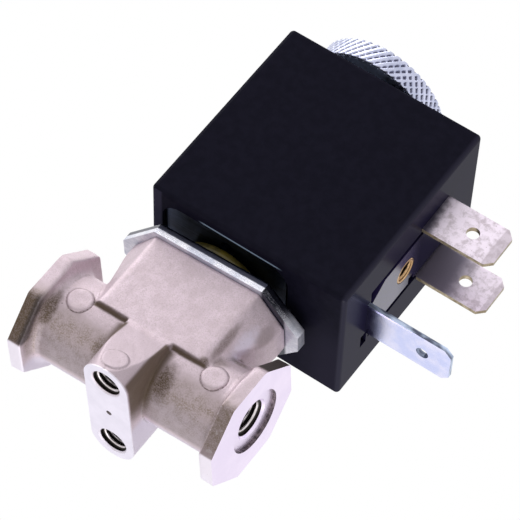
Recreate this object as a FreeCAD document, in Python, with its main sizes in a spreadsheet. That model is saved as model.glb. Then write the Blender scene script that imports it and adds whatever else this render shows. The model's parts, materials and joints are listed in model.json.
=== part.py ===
import FreeCAD, Part

import os
from types import SimpleNamespace

import Sketcher

# Small in-line solenoid valve. Millimetres, +Z up along the coil axis, +X along the ports
# towards the connector blades, origin in the middle of the mounting pad face.

SIZES = {
    # Valve body: barrel, flanges and mounting pad
    "body_length": 31.1,
    "port_height": 8.4,
    "barrel_radius": 6.1,
    "flange_half_height": 8.4,
    "flange_half_width": 7.5,
    "flange_side_flat": 3.4,
    "flange_end_flat": 2.9,
    "flange_thickness": 2.0,
    "flange_root_radius": 1.2,
    "pad_half_width": 3.3,
    "pad_half_length": 9.8,
    "pad_hole_pitch": 13.0,
    "pad_hole_radius": 2.0,
    "pad_hole_depth": 3.0,
    "pad_hole_chamfer": 0.2,
    "centre_mark_radius": 0.35,
    "mark_radius": 1.7,
    "mark_reach": 10.2,
    "mark_stand": 0.15,
    "block_mark_height": 2.35,
    # Valve body: boss and lugs
    "boss_base": 9.2,
    "boss_half_length": 8.4,
    "boss_half_depth": 6.7,
    "boss_corner": 0.5,
    "body_height": 21.2,
    "lug_half_length": 11.6,
    "lug_end_flat": 1.9,
    "lug_depth": 1.9,
    # Ports and passages
    "port_radius": 2.5,
    "port_depth": 5.5,
    "port_chamfer": 0.35,
    "port_rise": 0.7,
    "spot_radius": 4.5,
    "spot_depth": 0.53,
    "passage_radius": 1.5,
    "passage_wall": 1.7,
    "riser_radius": 0.8,
    "riser_reach": 3.5,
    # Seat, chamber and tube seat
    "chamber_radius": 4.5,
    "chamber_depth": 2.3,
    "seat_radius": 2.1,
    "seat_lip_radius": 1.6,
    "seat_lip_height": 0.8,
    "seat_rise": 1.7,
    "seat_grip": 1.9,
    "orifice_radius": 0.8,
    "tube_seat_radius": 5.7,
    "ring_groove_height": 1.5,
    "tube_ring_section": 0.72,
    "tube_ring_reach": 4.8,
    # Armature tube, core and plunger
    "tube_radius": 4.0,
    "tube_wall": 0.5,
    "tube_flange_radius": 5.6,
    "tube_flange_thickness": 1.5,
    "tube_top_drop": 1.0,
    "stud_radius": 3.0,
    "stud_drop": 0.25,
    "shading_inner": 2.2,
    "shading_outer": 2.8,
    "shading_depth": 1.2,
    "plunger_clearance": 0.08,
    "plunger_length": 19.8,
    "plunger_stroke": 1.2,
    "stop_gap": 0.3,
    "seal_radius": 2.2,
    "seal_thickness": 1.8,
    "seal_stand": 0.3,
    "seal_gap": 0.3,
    "spring_radius": 1.5,
    "spring_wire_radius": 0.2,
    "spring_turns": 8.0,
    "spring_pocket_radius": 2.0,
    "spring_pocket_depth": 8.0,
    # Retaining plate and its screws
    "plate_thickness": 1.75,
    "plate_half_front": 8.2,
    "plate_half_depth": 7.3,
    "plate_half_length": 13.5,
    "plate_tip_flat": 1.4,
    "plate_edge_radius": 0.4,
    "plate_hole_clearance": 0.3,
    "screw_reach": 8.9,
    "screw_radius": 1.25,
    "screw_length": 5.0,
    "screw_head_radius": 2.2,
    "screw_head_depth": 1.05,
    "screw_socket_radius": 0.8,
    "screw_socket_depth": 0.7,
    "coil_ring_reach": 5.7,
    "coil_ring_section": 0.8,
    # Coil; the whole coil rests turned a little on its tube
    "coil_rest_angle": 3.28,
    "coil_gap": 1.35,
    "coil_height": 30.9,
    "coil_half_width": 11.1,
    "coil_back": 11.3,
    "coil_front": 18.0,
    "coil_edge_radius": 0.6,
    "coil_running_clearance": 0.05,
    "recess_half_length": 9.6,
    "recess_half_width": 9.2,
    "recess_corner_radius": 3.0,
    "yoke_inset": 0.6,
    "yoke_thickness": 1.5,
    "yoke_back": 10.2,
    "yoke_strap": 1.2,
    "yoke_front": 9.0,
    "yoke_half_width": 8.2,
    "yoke_hole_radius": 4.4,
    "yoke_mark_radius": 1.1,
    "yoke_mark_reach": 6.1,
    "top_cover": 1.2,
    "top_opening_radius": 7.6,
    "bobbin_wall": 0.8,
    "bobbin_flange_radius": 8.8,
    "bobbin_flange": 1.0,
    "winding_radius": 8.2,
    # Connector face
    "blade_width": 6.3,
    "blade_thickness": 0.8,
    "blade_pitch": 11.0,
    "blade_root": 5.5,
    "blade_hole_radius": 0.9,
    "blade_corner": 1.0,
    "power_blade_height": 20.76,
    "power_blade_reach": 10.07,
    "power_hole_reach": 5.58,
    "ground_blade_height": 5.88,
    "ground_blade_reach": 12.47,
    "ground_hole_reach": 8.43,
    "island_half_width": 4.2,
    "island_foot_half_width": 1.8,
    "island_shoulder": 3.2,
    "groove_depth": 2.4,
    "groove_margin": 0.3,
    "insert_height": 14.5,
    "insert_radius": 1.95,
    "insert_hole_radius": 1.5,
    "insert_length": 6.0,
    "key_width": 2.4,
    "key_height": 1.3,
    "key_depth": 1.5,
    "island_notch_width": 1.2,
    "island_notch_height": 1.2,
    "island_notch_rise": 1.6,
    "island_notch_depth": 0.8,
    # Nut and washer
    "nut_gap": 0.3,
    "washer_radius": 7.0,
    "washer_thickness": 0.8,
    "nut_running_clearance": 0.05,
    "hub_radius": 6.6,
    "hub_height": 0.45,
    "nut_cone_height": 0.42,
    "nut_radius": 9.5,
    "nut_height": 3.1,
    "nut_chamfer": 0.3,
}

doc = FreeCAD.newDocument("solenoid_valve")
sheet = doc.addObject("Spreadsheet::Sheet", "Sizes")
for row, (alias, number) in enumerate(SIZES.items(), start=1):
    sheet.set(f"A{row}", alias)
    sheet.set(f"B{row}", str(number))
    sheet.setAlias(f"B{row}", alias)
doc.recompute()


class Size:
    """A length that knows its number and the sheet formula that it follows."""

    def __init__(self, number, formula):
        self.number = number
        self.formula = formula

    def __add__(self, other):
        return Size(self.number + number_of(other), f"{self.formula} + {formula_of(other)}")

    def __radd__(self, other):
        return size_of(other) + self

    def __sub__(self, other):
        return Size(self.number - number_of(other), f"{self.formula} - ({formula_of(other)})")

    def __rsub__(self, other):
        return size_of(other) - self

    def __mul__(self, factor):
        return Size(self.number * factor, f"({self.formula}) * {factor}")

    def __rmul__(self, factor):
        return self * factor

    def __truediv__(self, factor):
        return Size(self.number / factor, f"({self.formula}) / {factor}")

    def __neg__(self):
        return self * -1


def number_of(item):
    return item.number if isinstance(item, Size) else item


def formula_of(item):
    return item.formula if isinstance(item, Size) else str(item)


def size_of(item):
    return item if isinstance(item, Size) else Size(item, str(item))


s = SimpleNamespace(**{alias: Size(number, f"Sizes.{alias}") for alias, number in SIZES.items()})


def bind(item, **sizes):
    """Tie properties of an object to sheet formulas."""
    for name, value in sizes.items():
        item.setExpression(name, formula_of(value))


def place(item, x, y, z):
    for axis, value in zip("xyz", (x, y, z)):
        item.setExpression(f"Placement.Base.{axis}", formula_of(value))


TURN = {
    "x": FreeCAD.Rotation(FreeCAD.Vector(0, 1, 0), 90),
    "y": FreeCAD.Rotation(FreeCAD.Vector(1, 0, 0), -90),
    "z": FreeCAD.Rotation(),
}


def along_axis(item, along, start, across):
    """Stand a round primitive on an axis: start is its foot, across its two other places."""
    item.Placement = FreeCAD.Placement(FreeCAD.Vector(), TURN[along])
    spots = dict(zip([axis for axis in "xyz" if axis != along], across))
    spots[along] = start
    place(item, spots["x"], spots["y"], spots["z"])


def box(name, x, y, z):
    item = doc.addObject("Part::Box", name)
    bind(item, Length=x[1] - x[0], Width=y[1] - y[0], Height=z[1] - z[0])
    place(item, x[0], y[0], z[0])
    return item


def rod(name, radius, along, start, end, across=(0, 0)):
    item = doc.addObject("Part::Cylinder", name)
    bind(item, Radius=radius, Height=end - start)
    along_axis(item, along, start, across)
    return item


def cone(name, radii, along, start, end, across=(0, 0)):
    item = doc.addObject("Part::Cone", name)
    bind(item, Radius1=radii[0], Radius2=radii[1], Height=end - start)
    along_axis(item, along, start, across)
    return item


def torus(name, reach, section, along, place_on_axis, across=(0, 0)):
    item = doc.addObject("Part::Torus", name)
    bind(item, Radius1=reach, Radius2=section)
    along_axis(item, along, place_on_axis, across)
    return item


def fuse(name, items):
    item = doc.addObject("Part::MultiFuse", name)
    item.Shapes = items
    item.Refine = True
    return item


def cut(name, base, tools):
    item = doc.addObject("Part::Cut", name)
    item.Base = base
    item.Tool = tools[0] if len(tools) == 1 else fuse(name + "_tools", tools)
    item.Refine = True
    return item


def outline(body, name, plane, corners, offset=0):
    """Closed straight-sided sketch; each corner is held by two distances from the origin."""
    sketch = body.newObject("Sketcher::SketchObject", name)
    role = [item for item in body.Origin.OriginFeatures if item.Role == plane][0]
    sketch.AttachmentSupport = [(role, "")]
    sketch.MapMode = "FlatFace"
    sketch.setExpression("AttachmentOffset.Base.z", formula_of(offset))
    spots = [FreeCAD.Vector(number_of(a), number_of(b), 0) for a, b in corners]
    count = len(spots)
    for index in range(count):
        sketch.addGeometry(Part.LineSegment(spots[index], spots[(index + 1) % count]))
    for index in range(count):
        sketch.addConstraint(Sketcher.Constraint("Coincident", index, 2, (index + 1) % count, 1))
    for index, corner in enumerate(corners):
        for kind, value in zip(("DistanceX", "DistanceY"), corner):
            hold(sketch, Sketcher.Constraint(kind, -1, 1, index, 1, float(number_of(value))), value)
    return sketch


def hold(sketch, constraint, value):
    """Add a dimension to a sketch and tie it to its sheet formula."""
    row = sketch.addConstraint(constraint)
    if isinstance(value, Size):
        sketch.setExpression(f"Constraints[{row}]", value.formula)


def new_body(name):
    return doc.addObject("PartDesign::Body", name)


def pad(body, name, plane, corners, start, end):
    """Outline in a plane, raised from start to end along the plane's normal."""
    feature = body.newObject("PartDesign::Pad", name)
    feature.Profile = outline(body, name + "_outline", plane, corners, start)
    bind(feature, Length=end - start)
    body.Tip = feature
    return feature


def disc(body, name, plane, radius, across, start, end):
    """Round pad in a plane, with its centre held by two distances from the origin."""
    feature = body.newObject("PartDesign::Pad", name)
    sketch = outline(body, name + "_outline", plane, [], start)
    centre = FreeCAD.Vector(number_of(across[0]), number_of(across[1]), 0)
    sketch.addGeometry(Part.Circle(centre, FreeCAD.Vector(0, 0, 1), number_of(radius)))
    spots = (("DistanceX", across[0]), ("DistanceY", across[1]))
    for kind, value in spots:
        hold(sketch, Sketcher.Constraint(kind, -1, 1, 0, 3, float(number_of(value))), value)
    hold(sketch, Sketcher.Constraint("Radius", 0, float(number_of(radius))), radius)
    feature.Profile = sketch
    bind(feature, Length=end - start)
    body.Tip = feature
    return feature


def rounded_edges(body, name, base, radius, wanted):
    """Fillet on the edges of a feature that the test picks out."""
    doc.recompute()
    edges = [f"Edge{index}" for index, edge in enumerate(base.Shape.Edges, start=1) if wanted(edge)]
    feature = body.newObject("PartDesign::Fillet", name)
    feature.Base = (base, edges)
    bind(feature, Radius=radius)
    body.Tip = feature
    return feature


def turned(name, corners):
    """Body turned about the Z axis from an outline of (radius, height) corners."""
    body = new_body(name)
    feature = body.newObject("PartDesign::Revolution", name + "_turn")
    sketch = outline(body, name + "_outline", "XZ_Plane", corners)
    feature.Profile = sketch
    feature.ReferenceAxis = (sketch, ["V_Axis"])
    feature.Angle = 360
    body.Tip = feature
    return body


def named(item, label):
    """Give a finished sub-part the name of its file."""
    item.Label = label
    NODES.append(item)
    return item


def on_coil(item, label):
    """Sub-part of the coil: turned about the tube by the coil's resting angle."""
    item.Placement = FreeCAD.Placement(FreeCAD.Vector(), FreeCAD.Rotation(FreeCAD.Vector(0, 0, 1), 1))
    item.setExpression("Placement.Rotation.Angle", f"{s.coil_rest_angle.formula} * 1 deg")
    return named(item, label)


NODES = []

# How far cutting tools run past the faces that they open
FAR = 40
BEYOND = 1

# Heights of the stack, from the pad face up
tube_flange_base = s.body_height - s.tube_flange_thickness
tube_seat_floor = tube_flange_base - s.ring_groove_height
chamber_floor = tube_seat_floor - s.chamber_depth
seat_top = chamber_floor + s.seat_rise
seal_base = seat_top + s.seal_gap
plunger_base = seal_base + s.seal_stand
plunger_top = plunger_base + s.plunger_length
core_face = plunger_top + s.plunger_stroke + s.stop_gap
plate_top = s.body_height + s.plate_thickness
coil_base = plate_top + s.coil_gap
coil_top = coil_base + s.coil_height
yoke_base = coil_base + s.yoke_inset
yoke_top = coil_top - s.top_cover
spool_base = yoke_base + s.yoke_thickness
spool_top = yoke_top - s.yoke_thickness
tube_top = coil_top - s.tube_top_drop
washer_base = coil_top + s.nut_gap
washer_top = washer_base + s.washer_thickness
nut_base = washer_top + s.nut_gap
cone_base = nut_base + s.hub_height
knurl_base = cone_base + s.nut_cone_height
nut_top = knurl_base + s.nut_height


def make_valve_body():
    half = s.body_length / 2
    flange_inner = half - s.flange_thickness
    tall = s.flange_half_height
    wide = s.flange_half_width
    octagon = [
        (wide, s.port_height - s.flange_side_flat),
        (wide, s.port_height + s.flange_side_flat),
        (s.flange_end_flat, s.port_height + tall),
        (-s.flange_end_flat, s.port_height + tall),
        (-wide, s.port_height + s.flange_side_flat),
        (-wide, s.port_height - s.flange_side_flat),
        (-s.flange_end_flat, s.port_height - tall),
        (s.flange_end_flat, s.port_height - tall),
    ]
    barrel = new_body("barrel_and_flanges")
    disc(barrel, "barrel", "YZ_Plane", s.barrel_radius, (size_of(0), s.port_height), -half, half)
    pad(barrel, "flange_left", "YZ_Plane", octagon, -half, -flange_inner)
    flanged = pad(barrel, "flange_right", "YZ_Plane", octagon, flange_inner, half)

    # Concave roots where the barrel runs out into the flanges
    def at_root(edge):
        spots = [vertex.X for vertex in edge.Vertexes]
        round_edge = edge.Curve.TypeId == "Part::GeomCircle"
        return round_edge and all(abs(abs(x) - flange_inner.number) < 0.001 for x in spots)

    rounded_edges(barrel, "flange_roots", flanged, s.flange_root_radius, at_root)
    pieces = [barrel]

    # Pad block: a slot-shaped pillar whose two ends lean inwards up to the boss
    end_reach = s.pad_half_length - s.pad_half_width
    block_core = box("block_core", (-s.pad_half_width, s.pad_half_width), (-end_reach, end_reach), (0, s.boss_base))
    pillar = [block_core]
    for side, y in (("front", -end_reach), ("rear", end_reach)):
        pillar.append(rod(f"block_{side}_end", s.pad_half_width, "z", 0, s.boss_base, (0, y)))
    lean = new_body("block_lean")
    slope = [
        (-s.pad_half_length, 0),
        (s.pad_half_length, 0),
        (s.boss_half_depth, s.boss_base),
        (-s.boss_half_depth, s.boss_base),
    ]
    pad(lean, "block_lean_pad", "YZ_Plane", slope, -s.pad_half_width * 2, s.pad_half_width * 2)
    block = doc.addObject("Part::Common", "pad_block")
    block.Base = fuse("block_pillar", pillar)
    block.Tool = lean
    pieces.append(block)

    # Boss: flares from a square foot into two lugs under the plate
    boss = new_body("boss")
    lug_base = s.body_height - s.lug_depth
    foot = lugged(s.boss_half_length, s.boss_half_length - s.boss_corner, s.boss_half_depth - s.boss_corner)
    head = lugged(s.lug_half_length, s.boss_half_length - s.boss_corner, s.lug_end_flat)
    flare = boss.newObject("PartDesign::AdditiveLoft", "boss_flare")
    flare.Profile = outline(boss, "boss_foot", "XY_Plane", foot, s.boss_base)
    flare.Sections = [outline(boss, "boss_head", "XY_Plane", head, lug_base)]
    flare.Ruled = True
    pad(boss, "boss_lugs", "XY_Plane", head, lug_base, s.body_height)
    pieces.append(boss)
    pieces.append(rod("boss_neck", s.barrel_radius, "z", s.port_height, s.boss_base + BEYOND, (0, 0)))

    # Flat round marks that the forging tool leaves on barrel and block, front and rear
    stand = s.barrel_radius + s.mark_stand
    for end, x in (("left", -s.mark_reach), ("right", s.mark_reach)):
        pieces.append(rod(f"mark_{end}", s.mark_radius, "y", -stand, stand, (x, s.port_height)))
    for side, sign in (("front", -1), ("rear", 1)):
        pieces.append(block_mark(f"block_mark_{side}", sign))

    solid = fuse("body_solid", pieces)
    return named(cut("valve_body", solid, body_hollows(half)), "valve_body")


def block_mark(name, sign):
    """Short rod square to a leaning end of the pad block, standing a little proud of it."""
    run = s.pad_half_length - s.boss_half_depth
    slant = f"atan(({run.formula}) / {s.boss_base.formula})"
    root = s.mark_radius
    mark = doc.addObject("Part::Cylinder", name)
    bind(mark, Radius=s.mark_radius, Height=root + s.mark_stand)
    mark.Placement = FreeCAD.Placement(FreeCAD.Vector(), FreeCAD.Rotation(FreeCAD.Vector(-sign, 0, 0), 70))
    mark.setExpression("Placement.Rotation.Angle", f"90 deg - {slant}")
    face = f"{s.pad_half_length.formula} - {s.block_mark_height.formula} * tan({slant})"
    mark.setExpression("Placement.Base.y", f"{sign} * ({face} - {root.formula} * cos({slant}))")
    mark.setExpression("Placement.Base.z", f"{s.block_mark_height.formula} - {root.formula} * sin({slant})")
    return mark


def lugged(half_length, half_front, end_flat):
    """Eight corners of the boss outline: long front and rear, narrow ends."""
    deep = s.boss_half_depth
    return [
        (half_length, -end_flat),
        (half_length, end_flat),
        (half_front, deep),
        (-half_front, deep),
        (-half_length, end_flat),
        (-half_length, -end_flat),
        (-half_front, -deep),
        (half_front, -deep),
    ]


def body_hollows(half):
    axis = (0, s.port_height)
    mouth_axis = (0, s.port_height + s.port_rise)
    tools = []

    # Two in-line ports with a shallow spot face, set a little above the flanges' middle.
    # The drillings behind them stop either side of the seat
    mouth = half - s.spot_depth
    thread_end = mouth - s.port_depth
    inlet_end = -(s.riser_reach - s.riser_radius)
    outlet_end = inlet_end + s.passage_wall
    for side, sign, end in (("inlet", -1, inlet_end), ("outlet", 1, outlet_end)):
        spans = {
            "spot": (s.spot_radius, mouth, half + FAR),
            "thread": (s.port_radius, thread_end, mouth),
        }
        for kind, (radius, near, far) in spans.items():
            low, high = (near, far) if sign > 0 else (-far, -near)
            tools.append(rod(f"{side}_{kind}", radius, "x", low, high, mouth_axis))
        low, high = (end, thread_end) if sign > 0 else (-thread_end, end)
        tools.append(rod(f"{side}_drilling", s.passage_radius, "x", low, high, axis))
        wide = s.port_radius + s.port_chamfer
        near = mouth - s.port_chamfer
        if sign > 0:
            tools.append(cone(f"{side}_chamfer", (s.port_radius, wide), "x", near, mouth, mouth_axis))
        else:
            tools.append(cone(f"{side}_chamfer", (wide, s.port_radius), "x", -mouth, -near, mouth_axis))

    # Riser to the ring-shaped chamber, seat bore, chamber and tube seat
    tools.append(rod("riser", s.riser_radius, "z", s.port_height, chamber_floor, (-s.riser_reach, 0)))
    tools.append(rod("seat_duct", s.orifice_radius, "z", s.port_height, chamber_floor))
    tools.append(rod("seat_bore", s.seat_radius, "z", chamber_floor - s.seat_grip, chamber_floor))
    tools.append(rod("chamber", s.chamber_radius, "z", chamber_floor, tube_seat_floor))
    tools.append(rod("tube_seat", s.tube_seat_radius, "z", tube_seat_floor, s.body_height + FAR))

    # Tapped pad holes, centre mark and lug holes
    for side, y in (("front", -s.pad_hole_pitch / 2), ("rear", s.pad_hole_pitch / 2)):
        tools.append(rod(f"pad_hole_{side}", s.pad_hole_radius, "z", size_of(0), s.pad_hole_depth, (0, y)))
        wide = s.pad_hole_radius + s.pad_hole_chamfer
        rims = (wide, s.pad_hole_radius)
        tools.append(cone(f"pad_rim_{side}", rims, "z", size_of(0), s.pad_hole_chamfer, (0, y)))
    point = s.centre_mark_radius
    tools.append(cone("centre_mark", (point, 0), "z", size_of(0), point))
    screw_end = plate_top - s.screw_length
    for side, x in (("left", -s.screw_reach), ("right", s.screw_reach)):
        tools.append(rod(f"lug_hole_{side}", s.screw_radius, "z", screw_end, s.body_height + FAR, (x, 0)))
    return tools


def make_seat():
    lip_base = seat_top - s.seat_lip_height
    foot = chamber_floor - s.seat_grip
    return named(turned("seat", [
        (s.orifice_radius, foot),
        (s.seat_radius, foot),
        (s.seat_radius, lip_base),
        (s.seat_lip_radius, lip_base),
        (s.seat_lip_radius, seat_top),
        (s.orifice_radius, seat_top),
    ]), "valve_seat")


def make_tube():
    inner = s.tube_radius - s.tube_wall
    named(turned("tube", [
        (inner, tube_flange_base),
        (s.tube_flange_radius, tube_flange_base),
        (s.tube_flange_radius, s.body_height),
        (s.tube_radius, s.body_height),
        (s.tube_radius, tube_top),
        (inner, tube_top),
    ]), "armature_tube")
    ring_height = tube_seat_floor + s.ring_groove_height / 2
    named(torus("tube_ring", s.tube_ring_reach, s.tube_ring_section, "z", ring_height), "tube_o_ring")


def make_core():
    inner = s.tube_radius - s.tube_wall
    stud_top = nut_top - s.stud_drop
    blank = turned("core_blank", [
        (0, core_face),
        (inner, core_face),
        (inner, tube_top),
        (s.stud_radius, tube_top),
        (s.stud_radius, stud_top),
        (0, stud_top),
    ])
    groove = turned("core_groove", ring_corners(core_face))
    named(cut("core", blank, [groove]), "fixed_core")
    named(turned("shading", ring_corners(core_face)), "shading_ring")


def ring_corners(face):
    """Square section of the copper ring that is let into the face of the core."""
    return [
        (s.shading_inner, face),
        (s.shading_outer, face),
        (s.shading_outer, face + s.shading_depth),
        (s.shading_inner, face + s.shading_depth),
    ]


def make_plunger():
    radius = s.tube_radius - s.tube_wall - s.plunger_clearance
    pocket_floor = plunger_top - s.spring_pocket_depth
    seal_top = seal_base + s.seal_thickness
    named(turned("iron", [
        (0, seal_top),
        (s.seal_radius, seal_top),
        (s.seal_radius, plunger_base),
        (radius, plunger_base),
        (radius, plunger_top),
        (s.spring_pocket_radius, plunger_top),
        (s.spring_pocket_radius, pocket_floor),
        (0, pocket_floor),
    ]), "plunger")
    named(rod("seal", s.seal_radius, "z", seal_base, seal_top), "plunger_seal")

    # Spring: round wire wound between the pocket floor and the core face
    wire = s.spring_wire_radius
    length = core_face - pocket_floor - wire * 2
    path = doc.addObject("Part::Helix", "spring_path")
    bind(path, Radius=s.spring_radius, Height=length, Pitch=Size(
        length.number / s.spring_turns.number, f"({length.formula}) / {s.spring_turns.formula}"))
    place(path, 0, 0, pocket_floor + wire)
    section = doc.addObject("Part::Circle", "spring_wire")
    bind(section, Radius=wire)
    section.Placement = FreeCAD.Placement(FreeCAD.Vector(), TURN["y"])
    place(section, s.spring_radius, 0, pocket_floor + wire)
    spring = doc.addObject("Part::Sweep", "spring")
    spring.Sections = [section]
    spring.Spine = (path, ["Edge1"])
    spring.Solid = True
    spring.Frenet = True
    named(spring, "return_spring")


def make_plate():
    plate = new_body("plate_blank")
    front = s.plate_half_front
    deep = s.plate_half_depth
    tip = s.plate_half_length
    flat = s.plate_tip_flat
    sheet_outline = [
        (tip, -flat),
        (tip, flat),
        (front, deep),
        (-front, deep),
        (-tip, flat),
        (-tip, -flat),
        (-front, -deep),
        (front, -deep),
    ]
    blank = pad(plate, "plate_pad", "XY_Plane", sheet_outline, s.body_height, plate_top)
    middle = s.body_height.number + s.plate_thickness.number / 2
    rounded_edges(plate, "plate_rim", blank, s.plate_edge_radius,
                  lambda edge: all(vertex.Z > middle for vertex in edge.Vertexes))

    hole_radius = s.tube_radius + s.plate_hole_clearance
    tools = [rod("plate_hole", hole_radius, "z", s.body_height - BEYOND, plate_top + BEYOND)]
    for side, x in (("left", -s.screw_reach), ("right", s.screw_reach)):
        tools.append(screw_shape(f"plate_{side}_screw_space", x))
    named(cut("plate", plate, tools), "retaining_plate")


def screw_shape(name, x):
    """Countersunk screw: head flush with the plate, shank into the lug."""
    neck = plate_top - s.screw_head_depth
    head = cone(name + "_head", (s.screw_radius, s.screw_head_radius), "z", neck, plate_top, (x, 0))
    shank = rod(name + "_shank", s.screw_radius, "z", plate_top - s.screw_length, neck, (x, 0))
    return fuse(name, [head, shank])


def make_screws():
    for side, x in (("left", -s.screw_reach), ("right", s.screw_reach)):
        socket = doc.addObject("Part::Prism", f"screw_{side}_socket")
        socket.Polygon = 6
        bind(socket, Circumradius=s.screw_socket_radius, Height=s.screw_socket_depth)
        place(socket, x, 0, plate_top - s.screw_socket_depth)
        named(cut(f"screw_{side}", screw_shape(f"screw_{side}_blank", x), [socket]), f"plate_screw_{side}")


def make_coil_ring():
    height = plate_top + s.coil_ring_section
    named(torus("coil_ring", s.coil_ring_reach, s.coil_ring_section, "z", height), "coil_base_seal")


def yoke_boxes(name):
    """Bottom plate, back strap and top plate of the steel frame."""
    width = (-s.yoke_half_width, s.yoke_half_width)
    span = (-s.yoke_back, s.yoke_front)
    strap = (-s.yoke_back, -(s.yoke_back - s.yoke_strap))
    return [
        box(name + "_bottom", span, width, (yoke_base, spool_base)),
        box(name + "_strap", strap, width, (yoke_base, yoke_top)),
        box(name + "_top", span, width, (spool_top, yoke_top)),
    ]


def make_yoke():
    frame = fuse("yoke_blank", yoke_boxes("yoke"))
    tools = [rod("yoke_hole", s.yoke_hole_radius, "z", yoke_base, yoke_top)]
    for side, y in (("front", -s.yoke_mark_reach), ("rear", s.yoke_mark_reach)):
        tools.append(rod(f"yoke_mark_{side}", s.yoke_mark_radius, "z", yoke_base, spool_base, (0, y)))
    on_coil(cut("yoke", frame, tools), "yoke_frame")


def make_bobbin():
    bore = s.tube_radius + s.coil_running_clearance
    barrel = bore + s.bobbin_wall
    lower = spool_base + s.bobbin_flange
    upper = spool_top - s.bobbin_flange
    on_coil(turned("bobbin", [
        (bore, spool_base),
        (s.bobbin_flange_radius, spool_base),
        (s.bobbin_flange_radius, lower),
        (barrel, lower),
        (barrel, upper),
        (s.bobbin_flange_radius, upper),
        (s.bobbin_flange_radius, spool_top),
        (bore, spool_top),
    ]), "coil_bobbin")
    on_coil(turned("winding", [
        (barrel, lower),
        (s.winding_radius, lower),
        (s.winding_radius, upper),
        (barrel, upper),
    ]), "coil_winding")


def blade_box(name, kind, y=0):
    """Full rectangle of one blade, with its root inside the coil."""
    start = s.coil_front - s.blade_root
    half = s.blade_width / 2
    thin = s.blade_thickness / 2
    if kind == "power":
        middle = coil_base + s.power_blade_height
        return box(name, (start, s.coil_front + s.power_blade_reach), (y - thin, y + thin), (middle - half, middle + half))
    middle = coil_base + s.ground_blade_height
    return box(name, (start, s.coil_front + s.ground_blade_reach), (-half, half), (middle - thin, middle + thin))


def make_blades():
    """Flat blades with cut corners, a chamfered tip and a detent hole."""
    root = s.coil_front - s.blade_root
    thin = s.blade_thickness / 2
    blades = (
        ("power_blade_front", -s.blade_pitch / 2, "XZ_Plane", s.power_blade_reach, s.power_hole_reach),
        ("power_blade_rear", s.blade_pitch / 2, "XZ_Plane", s.power_blade_reach, s.power_hole_reach),
        ("ground_blade", size_of(0), "XY_Plane", s.ground_blade_reach, s.ground_hole_reach),
    )
    for label, y, plane, reach, hole in blades:
        upright = plane == "XZ_Plane"
        middle = coil_base + (s.power_blade_height if upright else s.ground_blade_height)
        centre = middle if upright else y
        tip = s.coil_front + reach
        half = s.blade_width / 2
        shape = [
            (root, centre - half),
            (tip - s.blade_corner, centre - half),
            (tip, centre - half + s.blade_corner),
            (tip, centre + half - s.blade_corner),
            (tip - s.blade_corner, centre + half),
            (root, centre + half),
        ]
        body = new_body(label + "_blank")
        level = -y if upright else middle
        pad(body, label + "_pad", plane, shape, level - thin, level + thin)
        spot = s.coil_front + hole
        if upright:
            drill = rod(label + "_hole", s.blade_hole_radius, "y", y - thin * 2, y + thin * 2, (spot, middle))
        else:
            drill = rod(label + "_hole", s.blade_hole_radius, "z", middle - thin * 2, middle + thin * 2, (spot, y))
        on_coil(cut(label + "_cut", body, [drill]), label)


def make_insert():
    height = coil_base + s.insert_height
    start = s.coil_front - s.insert_length
    blank = rod("insert_blank", s.insert_radius, "x", start, s.coil_front, (0, height))
    hole = rod("insert_hole", s.insert_hole_radius, "x", start, s.coil_front, (0, height))
    on_coil(cut("insert", blank, [hole]), "screw_insert")


def make_housing():
    body = new_body("housing_blank")
    side = s.coil_half_width
    block = pad(body, "housing_pad", "XY_Plane", [
        (-s.coil_back, -side),
        (s.coil_front, -side),
        (s.coil_front, side),
        (-s.coil_back, side),
    ], coil_base, coil_top)
    rounded_edges(body, "housing_edges", block, s.coil_edge_radius, lambda edge: True)

    # Room for the frame and the spool, open below and round the tube on top
    tools = yoke_boxes("yoke_space")
    tools.append(rod("spool_space", s.bobbin_flange_radius, "z", spool_base, spool_top))
    tools.append(rod("top_opening", s.top_opening_radius, "z", yoke_top, coil_top + BEYOND))
    tools += recess_tools(coil_base - BEYOND, spool_base)

    # Connector face: two grooves beside a tapering island, key notch and blade slots
    for side, sign in (("front", -1), ("rear", 1)):
        tools.append(connector_groove(f"groove_{side}", sign))
    key_top = coil_base + s.ground_blade_height
    key = (key_top - s.key_height, key_top)
    blade_edge = s.blade_width / 2
    tools.append(box("key_notch", (s.coil_front - s.key_depth, s.coil_front + BEYOND),
                     (blade_edge, blade_edge + s.key_width), key))
    notch_middle = coil_base + s.insert_height + s.island_notch_rise
    notch = (s.island_half_width - s.island_notch_width, s.island_half_width)
    notch_face = (s.coil_front - s.island_notch_depth, s.coil_front + BEYOND)
    notch_span = (notch_middle - s.island_notch_height / 2, notch_middle + s.island_notch_height / 2)
    tools.append(box("island_notch", notch_face, notch, notch_span))
    tools.append(blade_box("front_blade_space", "power", -s.blade_pitch / 2))
    tools.append(blade_box("rear_blade_space", "power", s.blade_pitch / 2))
    tools.append(blade_box("ground_blade_space", "ground"))
    height = coil_base + s.insert_height
    tools.append(rod("insert_space", s.insert_radius, "x", s.coil_front - s.insert_length, s.coil_front + BEYOND, (0, height)))
    on_coil(cut("housing", body, tools), "coil_housing")


def connector_groove(name, sign):
    """Groove along the inside of a power blade; it widens below, where the island tapers."""
    groove = new_body(name)
    inner = s.island_half_width
    outer = (s.blade_pitch - s.blade_thickness) / 2
    foot = coil_base + s.ground_blade_height + s.blade_thickness / 2
    shoulder = foot + s.island_shoulder
    top = coil_base + s.power_blade_height + s.blade_width / 2 + s.groove_margin
    pad(groove, name + "_pad", "YZ_Plane", [
        (inner * sign, top),
        (inner * sign, shoulder),
        (s.island_foot_half_width * sign, foot),
        (outer * sign, foot),
        (outer * sign, top),
    ], s.coil_front - s.groove_depth, s.coil_front + BEYOND)
    return groove


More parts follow.
